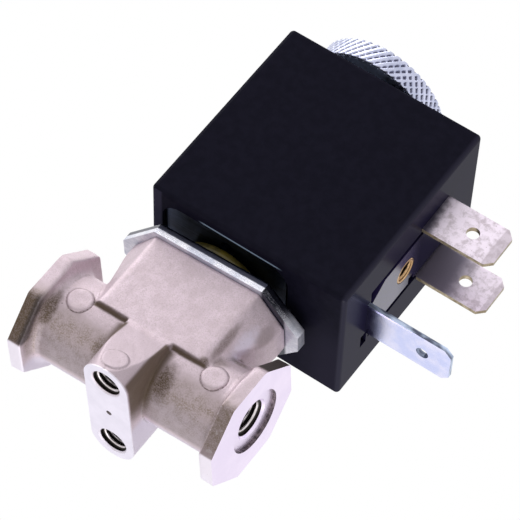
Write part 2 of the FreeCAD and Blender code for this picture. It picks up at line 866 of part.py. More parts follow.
def recess_tools(low, high):
    """Rounded rectangle under the coil, as two crossing boxes and four corner rods."""
    radius = s.recess_corner_radius
    long_half = s.recess_half_length
    wide_half = s.recess_half_width
    tools = [
        box("recess_long", (-long_half, long_half), (-(wide_half - radius), wide_half - radius), (low, high)),
        box("recess_wide", (-(long_half - radius), long_half - radius), (-wide_half, wide_half), (low, high)),
    ]
    for x_side, x in (("left", -(long_half - radius)), ("right", long_half - radius)):
        for y_side, y in (("front", -(wide_half - radius)), ("rear", wide_half - radius)):
            tools.append(rod(f"recess_{x_side}_{y_side}", radius, "z", low, high, (x, y)))
    return tools


def make_nut():
    bore = s.stud_radius + s.nut_running_clearance
    named(turned("washer", [
        (bore, washer_base),
        (s.washer_radius, washer_base),
        (s.washer_radius, washer_top),
        (bore, washer_top),
    ]), "nut_washer")
    rim = s.nut_radius - s.nut_chamfer
    named(turned("nut", [
        (bore, nut_base),
        (s.hub_radius, nut_base),
        (s.hub_radius, cone_base),
        (rim, knurl_base),
        (s.nut_radius, knurl_base + s.nut_chamfer),
        (s.nut_radius, nut_top - s.nut_chamfer),
        (rim, nut_top),
        (bore, nut_top),
    ]), "knurled_nut")


make_valve_body()
make_seat()
make_tube()
make_core()
make_plunger()
make_plate()
make_screws()
make_coil_ring()
make_yoke()
make_bobbin()
make_blades()
make_insert()
make_housing()
make_nut()
doc.recompute()

for item in doc.Objects:
    if "Invalid" in item.State or "Error" in item.State:
        raise RuntimeError(f"{item.Name} did not build: {item.State}")
for node in NODES:
    if node.Shape.isNull() or not node.Shape.isValid():
        raise RuntimeError(f"{node.Label} has no valid shape")

os.makedirs("parts", exist_ok=True)
for node in NODES:
    node.Shape.exportStep(f"parts/{node.Label}.step")
    print(f"{node.Label}: {len(node.Shape.Solids)} solid, {node.Shape.Volume:.1f} mm3")
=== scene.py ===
# %% [markdown]
# # A small solenoid valve, dressed for a photograph
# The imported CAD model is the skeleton: it says where every part is and how it moves. We load it
# first, because every later step measures itself against it.

# %% Load the frame
import json
import math
from functools import reduce

import bmesh
import bpy
import numpy as np
from mathutils import Matrix, Vector, noise

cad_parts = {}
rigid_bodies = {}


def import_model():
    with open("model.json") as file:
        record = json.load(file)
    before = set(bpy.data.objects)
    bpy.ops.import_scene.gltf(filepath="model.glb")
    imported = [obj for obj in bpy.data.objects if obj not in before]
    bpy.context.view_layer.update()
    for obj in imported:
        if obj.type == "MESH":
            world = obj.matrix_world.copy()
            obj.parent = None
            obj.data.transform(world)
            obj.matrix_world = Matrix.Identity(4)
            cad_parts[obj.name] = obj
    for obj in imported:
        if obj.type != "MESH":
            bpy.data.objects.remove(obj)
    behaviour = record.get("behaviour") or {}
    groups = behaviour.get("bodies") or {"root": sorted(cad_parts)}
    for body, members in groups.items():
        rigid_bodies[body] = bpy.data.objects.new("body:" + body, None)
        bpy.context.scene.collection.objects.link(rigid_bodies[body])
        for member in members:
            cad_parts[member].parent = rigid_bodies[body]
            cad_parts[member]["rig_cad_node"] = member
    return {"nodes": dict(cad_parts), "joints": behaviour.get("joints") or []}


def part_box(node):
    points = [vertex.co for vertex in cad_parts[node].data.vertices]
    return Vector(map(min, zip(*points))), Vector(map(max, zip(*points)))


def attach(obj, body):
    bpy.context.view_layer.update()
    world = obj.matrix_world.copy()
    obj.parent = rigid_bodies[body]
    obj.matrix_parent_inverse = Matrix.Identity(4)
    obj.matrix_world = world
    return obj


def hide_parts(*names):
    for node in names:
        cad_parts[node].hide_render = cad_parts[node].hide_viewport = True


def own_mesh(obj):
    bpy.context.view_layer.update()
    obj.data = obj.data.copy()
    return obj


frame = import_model()
nodes = frame["nodes"]
for leftover in list(bpy.data.objects):
    if "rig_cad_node" not in leftover and not leftover.name.startswith("body:"):
        bpy.data.objects.remove(leftover)
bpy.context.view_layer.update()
print("pieces in the frame:", len(nodes))

# %% [markdown]
# ## The camera
# A product photographer lays such a valve on its back and looks at the underside of the body. In
# our frame the part stands upright, so the camera stands below and to the right, and is rolled. We
# could aim it by hand, but a camera solved from the coil's corners gives one rotation and one long
# lens, and all else falls into place.

# %% Camera at the photograph's angle
camera_data = bpy.data.cameras.new("photo_camera")
camera_data.sensor_width = 36.0
camera_data.lens = 198.68
camera_data.clip_start = 0.01
camera = bpy.data.objects.new("photo_camera", camera_data)
camera.location = (0.12973, -0.29723, -0.13956)
camera.rotation_euler = [math.radians(a) for a in (124.44050, -35.11300, 1.71157)]
bpy.context.scene.collection.objects.link(camera)
bpy.context.scene.camera = camera
print("camera distance in mm:", round(camera.location.length * 1000))

# %% [markdown]
# ## Shader maths as plain expressions
# A node tree is only arithmetic on sockets. One small class wraps a socket, so that `1 - mask` or
# `grain * 0.4` adds its Math nodes by itself, and one method makes every other kind of node. This
# keeps each finish readable.

# %% The socket class
class Socket:
    """An output of a shader node, with arithmetic that adds Math nodes."""

    def __init__(self, tree, socket=None):
        self.tree = tree
        self.socket = socket

    def node(self, kind, settings=None, values=None, out=0):
        made = self.tree.nodes.new(kind)
        for name, value in (settings or {}).items():
            setattr(made, name, value)
        for name, value in (values or {}).items():
            if isinstance(value, Socket):
                self.tree.links.new(value.socket, made.inputs[name])
            else:
                made.inputs[name].default_value = value
        return Socket(self.tree, made.outputs[out])

    def other(self, out):
        return Socket(self.tree, self.socket.node.outputs[out])

    def math(self, operation, *values):
        return self.node("ShaderNodeMath", {"operation": operation}, dict(enumerate(values)))

    def __add__(self, value):
        return self.math("ADD", self, value)

    def __sub__(self, value):
        return self.math("SUBTRACT", self, value)

    def __rsub__(self, value):
        return self.math("SUBTRACT", value, self)

    def __mul__(self, value):
        return self.math("MULTIPLY", self, value)

    def __neg__(self):
        return self * -1

    def __abs__(self):
        return self.math("ABSOLUTE", self)

    __radd__ = __add__
    __rmul__ = __mul__

    def most(self, value):
        """The larger of the two at each point."""
        return self.math("MAXIMUM", self, value)

    def rise(self, low, high):
        """A soft step from 0 at low to 1 at high."""
        ends = {"Value": self, "From Min": low, "From Max": high}
        return self.node("ShaderNodeMapRange", {"interpolation_type": "SMOOTHSTEP"}, ends)

    def fall(self, low, high):
        """A soft step from 1 at low to 0 at high."""
        return 1 - self.rise(low, high)

    def mix(self, first, second):
        """The first colour where this mask is 0, the second where it is 1."""
        values = {0: self, 6: first, 7: second}
        return self.node("ShaderNodeMix", {"data_type": "RGBA"}, values, out=2)


def rgb(red, green, blue):
    return (red, green, blue, 1.0)


def layered(base, *layers):
    """Lays tints over a colour one after another: each layer is a mask and its colour."""
    for mask, tint in layers:
        base = mask.mix(base, tint)
    return base


# %% [markdown]
# Every finish reads its place in millimetres from the object's own coordinates, so grain keeps its
# real size and moves with the part. Noise, scratches and bump come up in nearly every metal, so
# they get helpers of their own.

# %% Helpers for finishes
def in_millimetres(start):
    place = start.node("ShaderNodeTexCoord", out="Object")
    return start.node("ShaderNodeVectorMath", {"operation": "SCALE"}, {0: place, "Scale": 1000.0})


def stretched(place, scale, turn=(0.0, 0.0, 0.0)):
    values = {"Vector": place, "Scale": scale, "Rotation": turn}
    return place.node("ShaderNodeMapping", values=values)


def cloud(place, scale, detail=3.0, roughness=0.55):
    values = {"Vector": place, "Scale": scale, "Detail": detail, "Roughness": roughness}
    return place.node("ShaderNodeTexNoise", values=values)


def apart(place):
    """The three coordinates as sockets of their own."""
    x = place.node("ShaderNodeSeparateXYZ", values={0: place})
    return x, x.other("Y"), x.other("Z")


def vector(place, operation, value):
    return place.node("ShaderNodeVectorMath", {"operation": operation}, {0: place, 1: value})


def blot(place, centre, radius, reach=(1.0, 1.0, 1.0), edge=0.5):
    """A spot with a soft, ragged edge: 1 inside, 0 outside. Reach draws it out along the axes."""
    off = vector(vector(place, "SUBTRACT", centre), "DIVIDE", reach)
    away = place.node("ShaderNodeVectorMath", {"operation": "LENGTH"}, {0: off}, out="Value")
    ragged = away + (cloud(place, 1.6) - 0.5) * (radius * 0.8)
    return ragged.fall(radius * (1 - edge), radius * (1 + edge))


def bumped(height, depth, strength=1.0):
    """A normal from a height; depth is in metres."""
    values = {"Strength": strength, "Distance": depth, "Height": height}
    return height.node("ShaderNodeBump", values=values)


def finish(name, build, **fixed):
    """A new material: build gets the place in millimetres and returns what changes over it."""
    material = bpy.data.materials.new(name)
    material.use_nodes = True
    tree = material.node_tree
    shader = tree.nodes["Principled BSDF"]
    for socket, value in fixed.items():
        shader.inputs[socket.replace("_", " ")].default_value = value
    for socket, value in build(in_millimetres(Socket(tree))).items():
        tree.links.new(value.socket, shader.inputs[socket])
    print("finish", name, "nodes:", len(tree.nodes))
    return material


# %% [markdown]
# ## The cast skin
# The body is a small forging with a plated, shot-blasted skin: pale warm grey, matt, with fine
# grain, and with brown oxide left in the inner corners. We could paint the oxide by hand. It is
# quicker to say where it lies: a few soft spots stand for stains and for painted shade beside the
# block and along the boss, and plain limits along x, y and z bring painted shade and dirt under the
# boss, and brown oxide with painted shade on the rims of the flanges.

# %% Oxide and dirt on the casting
BARREL_Z, BARREL_RADIUS = 8.4, 6.1
# Partly stains, partly painted shade: the left flange's root, the barrel beside the block, and the
# boss's right edge, its foot and the underside of its lug.
STAINS_AND_SHADE = [
    # centre, radius, reach, strength
    ((-12.9, -5.4, 5.8), 1.5, (0.55, 1.0, 1.7), 0.9),
    ((4.8, -5.8, 3.4), 1.5, (1.0, 1.6, 2.2), 1.0),
    ((-4.4, -5.6, 3.4), 1.2, (0.8, 1.6, 2.2), 0.5),
    ((8.0, -6.6, 9.3), 0.7, (1.0, 1.0, 1.0), 0.9),
    ((8.4, -6.2, 13.2), 0.75, (0.7, 1.0, 4.2), 0.62),
    ((9.2, -4.4, 10.6), 1.3, (1.0, 1.2, 0.8), 0.75),
    ((10.9, -3.2, 18.4), 1.0, (1.0, 1.0, 2.0), 0.4),
    ((10.9, -4.3, 12.7), 0.75, (1.5, 1.0, 0.8), 0.8),
]


def stain_and_shade_blots(place, grain):
    rough = 0.45 + grain.rise(0.35, 0.65) * 0.55
    return [blot(place, centre, radius, reach) * rough * strength
            for centre, radius, reach, strength in STAINS_AND_SHADE]


def shade_and_dirt_under_boss(x, y, z, mottle):
    """Painted shade with some dirt: under the foot of the boss, and on the two sides of the block
    below it.
    """
    ragged = (mottle - 0.5) * 0.8
    foot = abs(z - 9.0 + ragged * 0.4).fall(0.1, 0.5) * abs(y).rise(5.0, 5.6)
    foot = foot * abs(x).fall(8.2, 8.8)
    sides = abs(x).rise(2.7, 3.0) * abs(x).fall(3.5, 4.8) * (-y).rise(-1.0, 3.0) * z.rise(0.1, 0.5)
    sides = sides * (z + ragged).fall(8.2, 8.9)
    return foot * abs(x).rise(3.1, 3.6) * 0.9, sides * 0.85


def rims_oxide_and_shade(x, y, z):
    """Brown over the flanges' slanted rims, partly oxide and partly painted shade: the lower one,
    mostly on the left, and the right upper one.
    """
    rim = abs(x).rise(13.72, 13.92) * (-y).rise(2.5, 3.2)
    lower = rim * z.fall(4.4, 6.4) * z.rise(0.05, 0.25) * (0.97 - x.rise(-1.0, 1.0) * 0.42)
    return lower, rim * x.rise(0.0, 1.0) * z.rise(12.0, 12.6)


def rim_shadow_line(x, y, z, upper):
    """The darkest tone, a painted shadow line: on the upper rim, and inside the left flange's lower
    rim.
    """
    inner = abs(x).rise(13.45, 13.6) * abs(x).fall(13.9, 14.6) * x.fall(-1.0, 1.0)
    inner = inner * (-y).rise(2.5, 3.2) * z.fall(4.4, 6.8) * z.rise(0.1, 0.4)
    return (upper * 0.9).most(inner * 0.75)


print("stains on the casting:", len(STAINS_AND_SHADE))

# %% [markdown]
# Inner corners and rubbed edges needn't be listed at all: Geometry's pointiness finds them, because
# the mesh of the casting will be dense enough. The tone of the skin comes from two noises, and a
# few broad tints go over it: tan on the barrel, bright rubbed edges, and painted shade and painted
# light where the light falls unevenly.

# %% Finish of the casting
def bare_skin(place, edge, barrel, grain, mottle):
    x, y, z = apart(place)
    skin = mottle.rise(0.3, 0.7).mix(rgb(0.66, 0.54, 0.595), rgb(0.75, 0.62, 0.69))
    skin = grain.rise(0.30, 0.60).mix(rgb(0.58, 0.475, 0.50), skin)
    drift = 0.55 + cloud(place, 0.9, 3.0).rise(0.32, 0.62) * 0.45
    low = (-y).rise(-1.2, 0.6) * z.fall(4.4, 8.2) * z.rise(0.3, 1.2) * abs(x).rise(3.0, 3.6)
    belly = barrel * z.fall(2.7, 4.4) * y.fall(-0.2, 0.8)
    block_front = abs(x).fall(3.3, 3.6) * (-y).rise(6.8, 7.1)
    rear_foot = z.fall(4.5, 7.5) * y.rise(0.4, 2.4)
    sheen = blot(place, (10.0, -4.6, 15.2), 1.2, (0.8, 1.0, 2.2), 0.6)
    # belly and block_front are painted shade on the lower barrel and the block's front; rear_foot
    # and the lowest quarter millimetre are painted light on faces lit from below; sheen is a
    # painted highlight beside the boss.
    return layered(
        skin,
        (low * drift * grain.rise(0.3, 0.62) * 0.95, rgb(0.310, 0.240, 0.185)),
        (belly * 0.5, rgb(0.34, 0.29, 0.33)),
        (block_front * 0.5, rgb(0.50, 0.41, 0.455)),
        (rear_foot * 0.8, rgb(0.74, 0.68, 0.80)),
        (z.fall(0.06, 0.25) * 0.9, rgb(0.95, 0.89, 0.98)),
        (sheen * 0.75, rgb(0.80, 0.73, 0.86)),
        (edge * 0.6, rgb(0.80, 0.72, 0.76)),
    )


def cast_skin(place):
    x, y, z = apart(place)
    grain = cloud(place, 5.5, 4.0, 0.7)
    mottle = cloud(place, 0.55, 3.0)
    curve = place.node("ShaderNodeNewGeometry", out="Pointiness")
    corner = (curve + (grain - 0.5) * 0.03).fall(0.425, 0.49)
    barrel = (y * y + (z - BARREL_Z) * (z - BARREL_Z)).fall(39.0, 41.0)
    boss_left = (-x).rise(6.0, 7.0) * z.rise(9.5, 10.5)
    edge = curve.rise(0.56, 0.66) * (1 - barrel) * (1 - boss_left)
    lower, upper = rims_oxide_and_shade(x, y, z)
    rims = lower.most(upper * 0.97) * (0.72 + grain.rise(0.35, 0.65) * 0.28)
    specks = cloud(place, 2.4, 2.0).rise(0.725, 0.775)
    # Oxide in the corners, stains and specks, mixed with painted shade from the spots, from under
    # the boss and on the rims.
    stain_and_shade = reduce(Socket.most, [corner * 0.9, *stain_and_shade_blots(place, grain), *shade_and_dirt_under_boss(x, y, z, mottle),
                                 rims, specks * 0.5])
    brown, black = rgb(0.105, 0.062, 0.022), rgb(0.030, 0.022, 0.024)
    skin = bare_skin(place, edge, barrel, grain, mottle)
    return {
        "Base Color": layered(skin, (stain_and_shade, brown), (rim_shadow_line(x, y, z, upper), black)),
        "Roughness": 0.5 + stain_and_shade * 0.25 - edge * 0.1,
        "Metallic": 0.5 - stain_and_shade * 0.35,
        "Normal": bumped(grain + cloud(place, 1.4, 2.0) * 0.8, 0.00005, 0.7),
    }


skin_finish = finish("plated_cast_skin", cast_skin)

# %% [markdown]
# ## Machined nickel
# Where a cutter went over the casting, the metal is nearly white and shows fine turning lines. One
# finish serves the port faces and, a little bluer, the pad face. The threads get a darker one, with
# oil and painted shade between the ridges and painted shade deeper in, and the walls of the
# recesses get one of painted shade.

# %% Finish of the cut faces and the threads
def cut_face(place):
    swirl = cloud(stretched(place, (6.0, 6.0, 6.0)), 1.0, 3.0, 0.6)
    wear = cloud(place, 0.35, 2.0)
    return {
        "Base Color": wear.rise(0.3, 0.8).mix(rgb(0.865, 0.76, 0.955), rgb(0.925, 0.815, 1.0)),
        "Roughness": 0.26 + swirl * 0.12,
        "Normal": bumped(swirl, 0.000004, 0.5),
    }


def pad_metal(place):
    made = cut_face(place)
    wear = cloud(place, 0.3).rise(0.3, 0.7)
    made["Base Color"] = wear.mix(rgb(0.80, 0.755, 0.87), rgb(0.88, 0.83, 0.95))
    return made


def thread_metal(place):
    """Painted shade darkens the thread past the first turns of the ports and of the pad holes;
    between the ridges it is oil and painted shade.
    """
    x, _, z = apart(place)
    grease = cloud(place, 1.1, 3.0)
    painted_depth_shade = (14.9 - abs(x)).rise(1.2, 3.6) * z.rise(0.9, 2.3)
    crest = place.node("ShaderNodeAttribute", {"attribute_name": "crest"}, out="Fac")
    metal = grease.rise(0.35, 0.7).mix(rgb(0.66, 0.60, 0.60), rgb(0.86, 0.80, 0.84))
    # The roots between the crests get oil and painted shade.
    metal = crest.rise(0.35, 0.75).mix(rgb(0.020, 0.016, 0.014), metal)
    return {
        "Base Color": painted_depth_shade.mix(metal, rgb(0.006, 0.005, 0.005)),
        "Roughness": 0.3 + grease * 0.3,
        "Normal": bumped(cloud(place, 4.0), 0.00001, 0.6),
    }


def painted_shade_wall(place):
    """The narrow walls of the recesses: a dull ring painted dark as shade."""
    swirl = cloud(place, 2.5, 3.0)
    return {
        "Base Color": swirl.rise(0.3, 0.7).mix(rgb(0.05, 0.04, 0.04), rgb(0.24, 0.20, 0.20)),
        "Roughness": 0.35 + swirl * 0.2,
    }


cut_finish = finish("machined_nickel", cut_face, Metallic=0.9)
wall_finish = finish("recess_wall", painted_shade_wall, Metallic=0.8)
pad_finish = finish("pad_nickel", pad_metal, Metallic=0.9)
thread_finish = finish("thread_nickel", thread_metal, Metallic=0.9)

# %% [markdown]
# ## Zinc, steel, brass and copper
# Bright zinc is bluish and smooth, with fine scratches in no special direction. One function makes
# every such metal: two tones, the roughness, the size of the mottling, the depth of the scratches
# and the way they run are all that differs.

# %% Finish of plain metals
ANY_WAY, ALONG_X, ALONG_XY = (1.0, 9.0, 9.0), (0.15, 4.0, 9.0), (1.0, 1.0, 12.0)


def worn_metal(low, high, rough=0.3, size=0.5, scratch=1.0, streak=ANY_WAY):
    def build(place):
        mottle = cloud(place, size, 4.0, 0.6)
        lines = cloud(stretched(place, streak, (0.3, 0.5, 0.7)), 1.0, 4.0, 0.7)
        return {
            "Base Color": (mottle * 0.6 + lines * 0.4).rise(0.35, 0.65).mix(low, high),
            "Roughness": rough + (lines - 0.5) * 0.25 * scratch,
            "Normal": bumped(lines + cloud(place, 6.0) * 0.5, 0.000008 * scratch, 0.6),
        }

    return build


METALS = {
    # two tones, roughness, size of the mottling, depth of the scratches, their way
    "bright_zinc": (rgb(0.50, 0.53, 0.64), rgb(0.80, 0.81, 0.92), 0.24),
    "screw_zinc": (rgb(0.45, 0.47, 0.55), rgb(0.76, 0.77, 0.86), 0.3, 0.9),
    # The yoke's tones are painted as dark as the shade in the coil's recess, and its lighter,
    # bluish tone is a painted sheen.
    "yoke_steel": (rgb(0.010, 0.011, 0.020), rgb(0.055, 0.075, 0.130), 0.32, 0.25, 1.0, ALONG_X),
    "tube_steel": (rgb(0.50, 0.50, 0.52), rgb(0.66, 0.66, 0.68), 0.28, 0.6, 0.6),
    "core_steel": (rgb(0.42, 0.42, 0.45), rgb(0.60, 0.60, 0.63), 0.34, 0.8, 0.8),
    "spring_steel": (rgb(0.44, 0.43, 0.42), rgb(0.62, 0.61, 0.60), 0.3, 1.5, 0.5),
    "seat_brass": (rgb(0.60, 0.42, 0.20), rgb(0.78, 0.60, 0.32), 0.3, 0.8, 0.6),
    "copper": (rgb(0.48, 0.18, 0.08), rgb(0.70, 0.32, 0.16), 0.35, 1.0, 1.0, ALONG_XY),
}
metal_finishes = {name: finish(name, worn_metal(*look), Metallic=1.0)
                  for name, look in METALS.items()}

# %% [markdown]
# ## The sheared plate and the insert's bore
# The plate under the coil is sheared from sheet, and its edge isn't one even band: it is bright
# below, with a painted dark reflection of the coil above, and painted shade, darkest on the slanted
# side. We could split the edge into strips with a finish each. Soft steps along z and x do the same
# and stay true if the plate grows. The brass of the insert fades into painted shade deeper in its
# bore in the same way.

# %% Finish of the plate and the bore
def plate_zinc(place):
    made = worn_metal(rgb(0.58, 0.60, 0.72), rgb(0.93, 0.92, 0.99), 0.24)(place)
    x, _, z = apart(place)
    streaks = cloud(stretched(place, (1.2, 1.2, 5.0)), 1.0, 4.0, 0.7)
    painted_top_reflection = (z + (streaks - 0.5) * 0.15).rise(21.90, 22.05) * z.fall(22.80, 22.88)
    painted_top_reflection = painted_top_reflection * (1 - x.rise(10.5, 12.4) * 0.85)
    slanted = x.rise(8.15, 8.35) * x.fall(9.6, 11.8) * (0.85 - streaks.rise(0.42, 0.66) * 0.75)
    dark = (painted_top_reflection * 0.95).most(slanted * z.fall(22.84, 22.9))
    # From below, the overhang is bright in front and has painted shadow along the slanted side
    under = z.fall(21.21, 21.25)
    dark = (dark * (1 - under)).most(under * x.rise(7.8, 8.4) * x.fall(11.3, 11.8))
    made["Base Color"] = dark.mix(made["Base Color"], rgb(0.022, 0.024, 0.050))
    made["Metallic"] = 1 - (under * 0.8).most(x.rise(10.6, 12.2) * 0.55)
    return made


def bore_brass(place):
    """Brass that is bright at the mouth, with painted shade further in."""
    x, _, _ = apart(place)
    grain = cloud(place, 1.5, 3.0)
    painted_depth_shade = (x + (grain - 0.5) * 0.6).fall(16.9, 17.9)
    brass = grain.mix(rgb(0.36, 0.21, 0.09), rgb(0.76, 0.51, 0.28))
    brass = painted_depth_shade.mix(brass, rgb(0.008, 0.005, 0.003))
    return {"Base Color": brass, "Roughness": 0.3 + grain * 0.15}


bore_finish = finish("insert_bore", bore_brass, Metallic=1.0)
plate_finish = finish("sheared_plate_zinc", plate_zinc, Metallic=1.0)

# %% [markdown]
# ## Black plastic, rubber and the spool
# The coil is overmoulded in black, glass-filled plastic. It is darker than it seems, and what the
# eye reads is the faint purple sheen of the room, which is partly painted into its base colour. Its
# specular level is nil, or the white room would wash it out, and a thin coat brings back the sheen
# where the mould was polished.

# %% Finish of the mouldings
REST_TURN = 3.28


def moulded(low, high, rough, size=0.8, depth=0.00001):
    def build(place):
        mottle = cloud(place, size, 3.0)
        grain = cloud(place, 7.0, 3.0)
        dust = cloud(place, 2.6, 2.0).rise(0.74, 0.80)
        return {
            "Base Color": (mottle.rise(0.3, 0.7) + dust * 0.35).mix(low, high),
            "Roughness": rough + (mottle - 0.5) * 0.12,
            "Normal": bumped(grain + mottle * 0.5, depth, 0.6),
        }

    return build


def coil_black(place):
    """The island between the blades is polished by its mould, the block round it is dull; a painted
    purple sheen tints both.
    """
    made = moulded(rgb(0.0100, 0.0094, 0.0185), rgb(0.0130, 0.0122, 0.0235), 0.4)(place)
    x, y, z = apart(stretched(place, (1.0, 1.0, 1.0), (0.0, 0.0, math.radians(-REST_TURN))))
    face = x.rise(17.2, 17.8)
    island = x.rise(14.5, 15.5) * abs(y).fall(4.0, 4.5) * z.rise(30.4, 30.9) * z.fall(36.5, 42.5)
    foot = z.fall(24.35, 24.45)
    painted_highlight_streak = abs(y + 9.5).fall(0.07, 0.2) * x.rise(-4.2, -3.0) * x.fall(7.4, 8.8) * foot
    # Painted sheen: lighter strips on the bottom, purple on the +X face and the island; a thin
    # bright line along the bottom is a painted highlight.
    made["Base Color"] = layered(
        made["Base Color"],
        (foot * x.rise(10.5, 16.0) * y.rise(-6.0, 2.0), rgb(0.022, 0.020, 0.036)),
        (foot * x.fall(-9.9, -9.5), rgb(0.042, 0.039, 0.068)),
        (face, rgb(0.013, 0.011, 0.034)),
        (island, rgb(0.040, 0.028, 0.110)),
        (painted_highlight_streak, rgb(0.30, 0.40, 0.50)),
    )
    made["Coat Weight"] = 0.03 + face * 0.16 + island * 0.8
    return made


PLASTICS = {
    # two tones, roughness, size of the mottling
    "spool_black": (rgb(0.010, 0.010, 0.012), rgb(0.020, 0.020, 0.022), 0.5),
    "seal_rubber": (rgb(0.012, 0.012, 0.012), rgb(0.028, 0.027, 0.026), 0.6),
    "olive_rubber": (rgb(0.020, 0.020, 0.004), rgb(0.200, 0.150, 0.018), 0.34, 0.5),
}
coil_finish = finish("coil_black", coil_black, Specular_IOR_Level=0.0, Coat_Roughness=0.25,
                     Coat_IOR=1.8)
plastic_finishes = {name: finish(name, moulded(*look)) for name, look in PLASTICS.items()}

# %% [markdown]
# ## Blade finishes
# The two power blades are tinned brass: blotchy white tin, brown-grey where it has aged, with brass
# showing on the punched edges. The ground blade is zinc-plated steel. All three are painted darker
# towards the root, as painted shadow of the coil, so the finishes take the line along x at which
# that starts. The coined slope at the tip of the power blades is painted darker too.

# %% Finish of the blades
def tinned(dark_from, dark_to, slope, shade):
    def build(place):
        blotches = cloud(place, 0.9, 5.0, 0.65)
        specks = cloud(place, 3.2, 3.0, 0.7)
        x, _, z = apart(place)
        root = (x + (z - 45.0) * slope + (blotches - 0.5) * 0.8).fall(dark_from, dark_to)
        tin = blotches.rise(0.34, 0.58).mix(rgb(0.60, 0.52, 0.58), rgb(0.92, 0.82, 0.93))
        return {
            "Base Color": layered(
                tin,
                (specks.rise(0.62, 0.74), rgb(0.44, 0.37, 0.40)),
                # Painted shade on the coined slope of the tip, then painted shadow at the root.
                (x.rise(26.95, 27.15) * 0.55, rgb(0.50, 0.43, 0.48)),
                (root, shade),
            ),
            "Roughness": 0.32 + blotches * 0.16,
            "Normal": bumped(blotches + specks * 0.4, 0.00001, 0.6),
        }

    return build


def plated_ground(place):
    x, _, _ = apart(place)
    mottle = cloud(place, 0.4, 3.0)
    # Painted shadow of the coil towards the root.
    root = (x + (mottle - 0.5) * 1.5).fall(18.4, 20.0)
    zinc = mottle.rise(0.35, 0.65).mix(rgb(0.62, 0.66, 0.95), rgb(0.76, 0.76, 0.97))
    return {
        "Base Color": root.mix(zinc, rgb(0.055, 0.05, 0.13)),
        "Roughness": 0.2 + mottle * 0.1,
        "Normal": bumped(cloud(stretched(place, (0.6, 5.0, 5.0)), 1.0, 3.0), 0.000006, 0.5),
    }


front_look = tinned(18.3, 19.8, 0.15, rgb(0.085, 0.075, 0.11))
rear_look = tinned(21.0, 24.6, 0.1, rgb(0.215, 0.190, 0.245))
front_tin = finish("front_blade_tin", front_look, Metallic=0.85)
rear_tin = finish("rear_blade_tin", rear_look, Metallic=0.85)
ground_finish = finish("ground_blade_zinc", plated_ground, Metallic=0.9)
punched_brass = worn_metal(rgb(0.22, 0.17, 0.10), rgb(0.50, 0.42, 0.30), 0.4, 1.5)
edge_finish = finish("punched_brass_edge", punched_brass, Metallic=0.8)

# %% [markdown]
# ## The nut's finish
# Bright zinc again, but dirt and painted shade sit in the knurl's pits, the shade painted stronger
# towards +x. The mesh carries a `pit` value from 0 on the ridges to 1 at the bottom of a pit, which
# we write when we shape the knurl, and the finish reads it here. The underside gets a finish of its
# own: a painted bluish sheen over dark, where it mirrors the dark coil.

# %% Finish of the knurled nut
def knurl_zinc(place):
    pit = place.node("ShaderNodeAttribute", {"attribute_name": "pit"}, out="Fac")
    x, _, _ = apart(place)
    mottle = cloud(place, 0.6, 3.0)
    zinc = mottle.rise(0.3, 0.7).mix(rgb(0.50, 0.53, 0.69), rgb(0.64, 0.66, 0.83))
    # Painted shade in the pits, with dirt, and stronger towards +x.
    grime_and_pit_shade = pit.rise(0.25, 0.8) * (0.55 + x.rise(-6.0, 1.0) * 0.45)
    return {
        "Base Color": grime_and_pit_shade.mix(zinc, rgb(0.17, 0.17, 0.24)),
        "Roughness": 0.25 + pit * 0.3,
        "Normal": bumped(cloud(place, 5.0), 0.000006, 0.5),
    }


def painted_sheen_zinc(place):
    sweep = cloud(stretched(place, (0.3, 0.3, 1.0)), 1.0, 2.0)
    return {
        # A painted bluish sheen sweeping over dark: a painted reflection; it also serves the ground
        # blade's rim and hole.
        "Base Color": sweep.rise(0.35, 0.65).mix(rgb(0.10, 0.11, 0.16), rgb(0.60, 0.70, 0.90)),
        "Roughness": 0.3 + sweep * 0.1,
        "Normal": bumped(cloud(place, 3.0), 0.000004, 0.4),
    }


knurl_finish = finish("knurl_zinc", knurl_zinc, Metallic=0.9)
underside_finish = finish("nut_underside", painted_sheen_zinc, Metallic=0.9)

# %% [markdown]
# ## Meshes: lathe work and piece making
# Most small parts of a valve come off a lathe, so the first mesh helper is one too: it turns a
# profile of (radius, height) points, in millimetres, into a closed solid. The others close a band
# between two rings, make an object of a mesh, and hand it over to the frame: which body it rides on
# and which CAD node it stands for.

# %% Mesh helpers
MM = 0.001
coil_angle = Matrix.Rotation(math.radians(REST_TURN), 4, "Z")


def lathe(profile, steps=96, at=Matrix()):
    bm = bmesh.new()
    turns = [math.tau * i / steps for i in range(steps)]
    rings = []
    for radius, height in profile:
        around = turns if radius else turns[:1]
        spots = [(radius * math.cos(a), radius * math.sin(a), height) for a in around]
        rings.append([bm.verts.new(at @ Vector(spot)) for spot in spots])
    pairs = list(zip(rings, rings[1:])) + ([(rings[-1], rings[0])] if profile[0][0] else [])
    for low, high in pairs:
        m, n = len(low), len(high)
        for i in range(steps):
            j = (i + 1) % steps
            corners = [low[i % m], low[j % m], high[j % n], high[i % n]]
            bm.faces.new(list(dict.fromkeys(corners)))
    bmesh.ops.recalc_face_normals(bm, faces=bm.faces)
    return bm


def band(bm, low, high, finish_index=0):
    """Faces all the way round between two rings of as many points."""
    for i in range(len(low)):
        j = (i + 1) % len(low)
        bm.faces.new((low[i], low[j], high[j], high[i])).material_index = finish_index


def make_object(bm, name, finishes, sharp=32):
    """A smooth-shaded object in metres from a bmesh in millimetres."""
    bmesh.ops.scale(bm, vec=(MM, MM, MM), verts=bm.verts)
    mesh = bpy.data.meshes.new(name)
    bm.to_mesh(mesh)
    bm.free()
    mesh.shade_smooth()
    mesh.set_sharp_from_angle(angle=math.radians(sharp))
    for each in finishes:
        mesh.materials.append(each)
    made = bpy.data.objects.new(name, mesh)
    bpy.context.scene.collection.objects.link(made)
    return made


def fit(piece, body, slot_name, *stands_for):
    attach(piece, body)
    if stands_for:
        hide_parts(*stands_for)
    print("piece", piece.name, "faces:", len(piece.data.polygons))


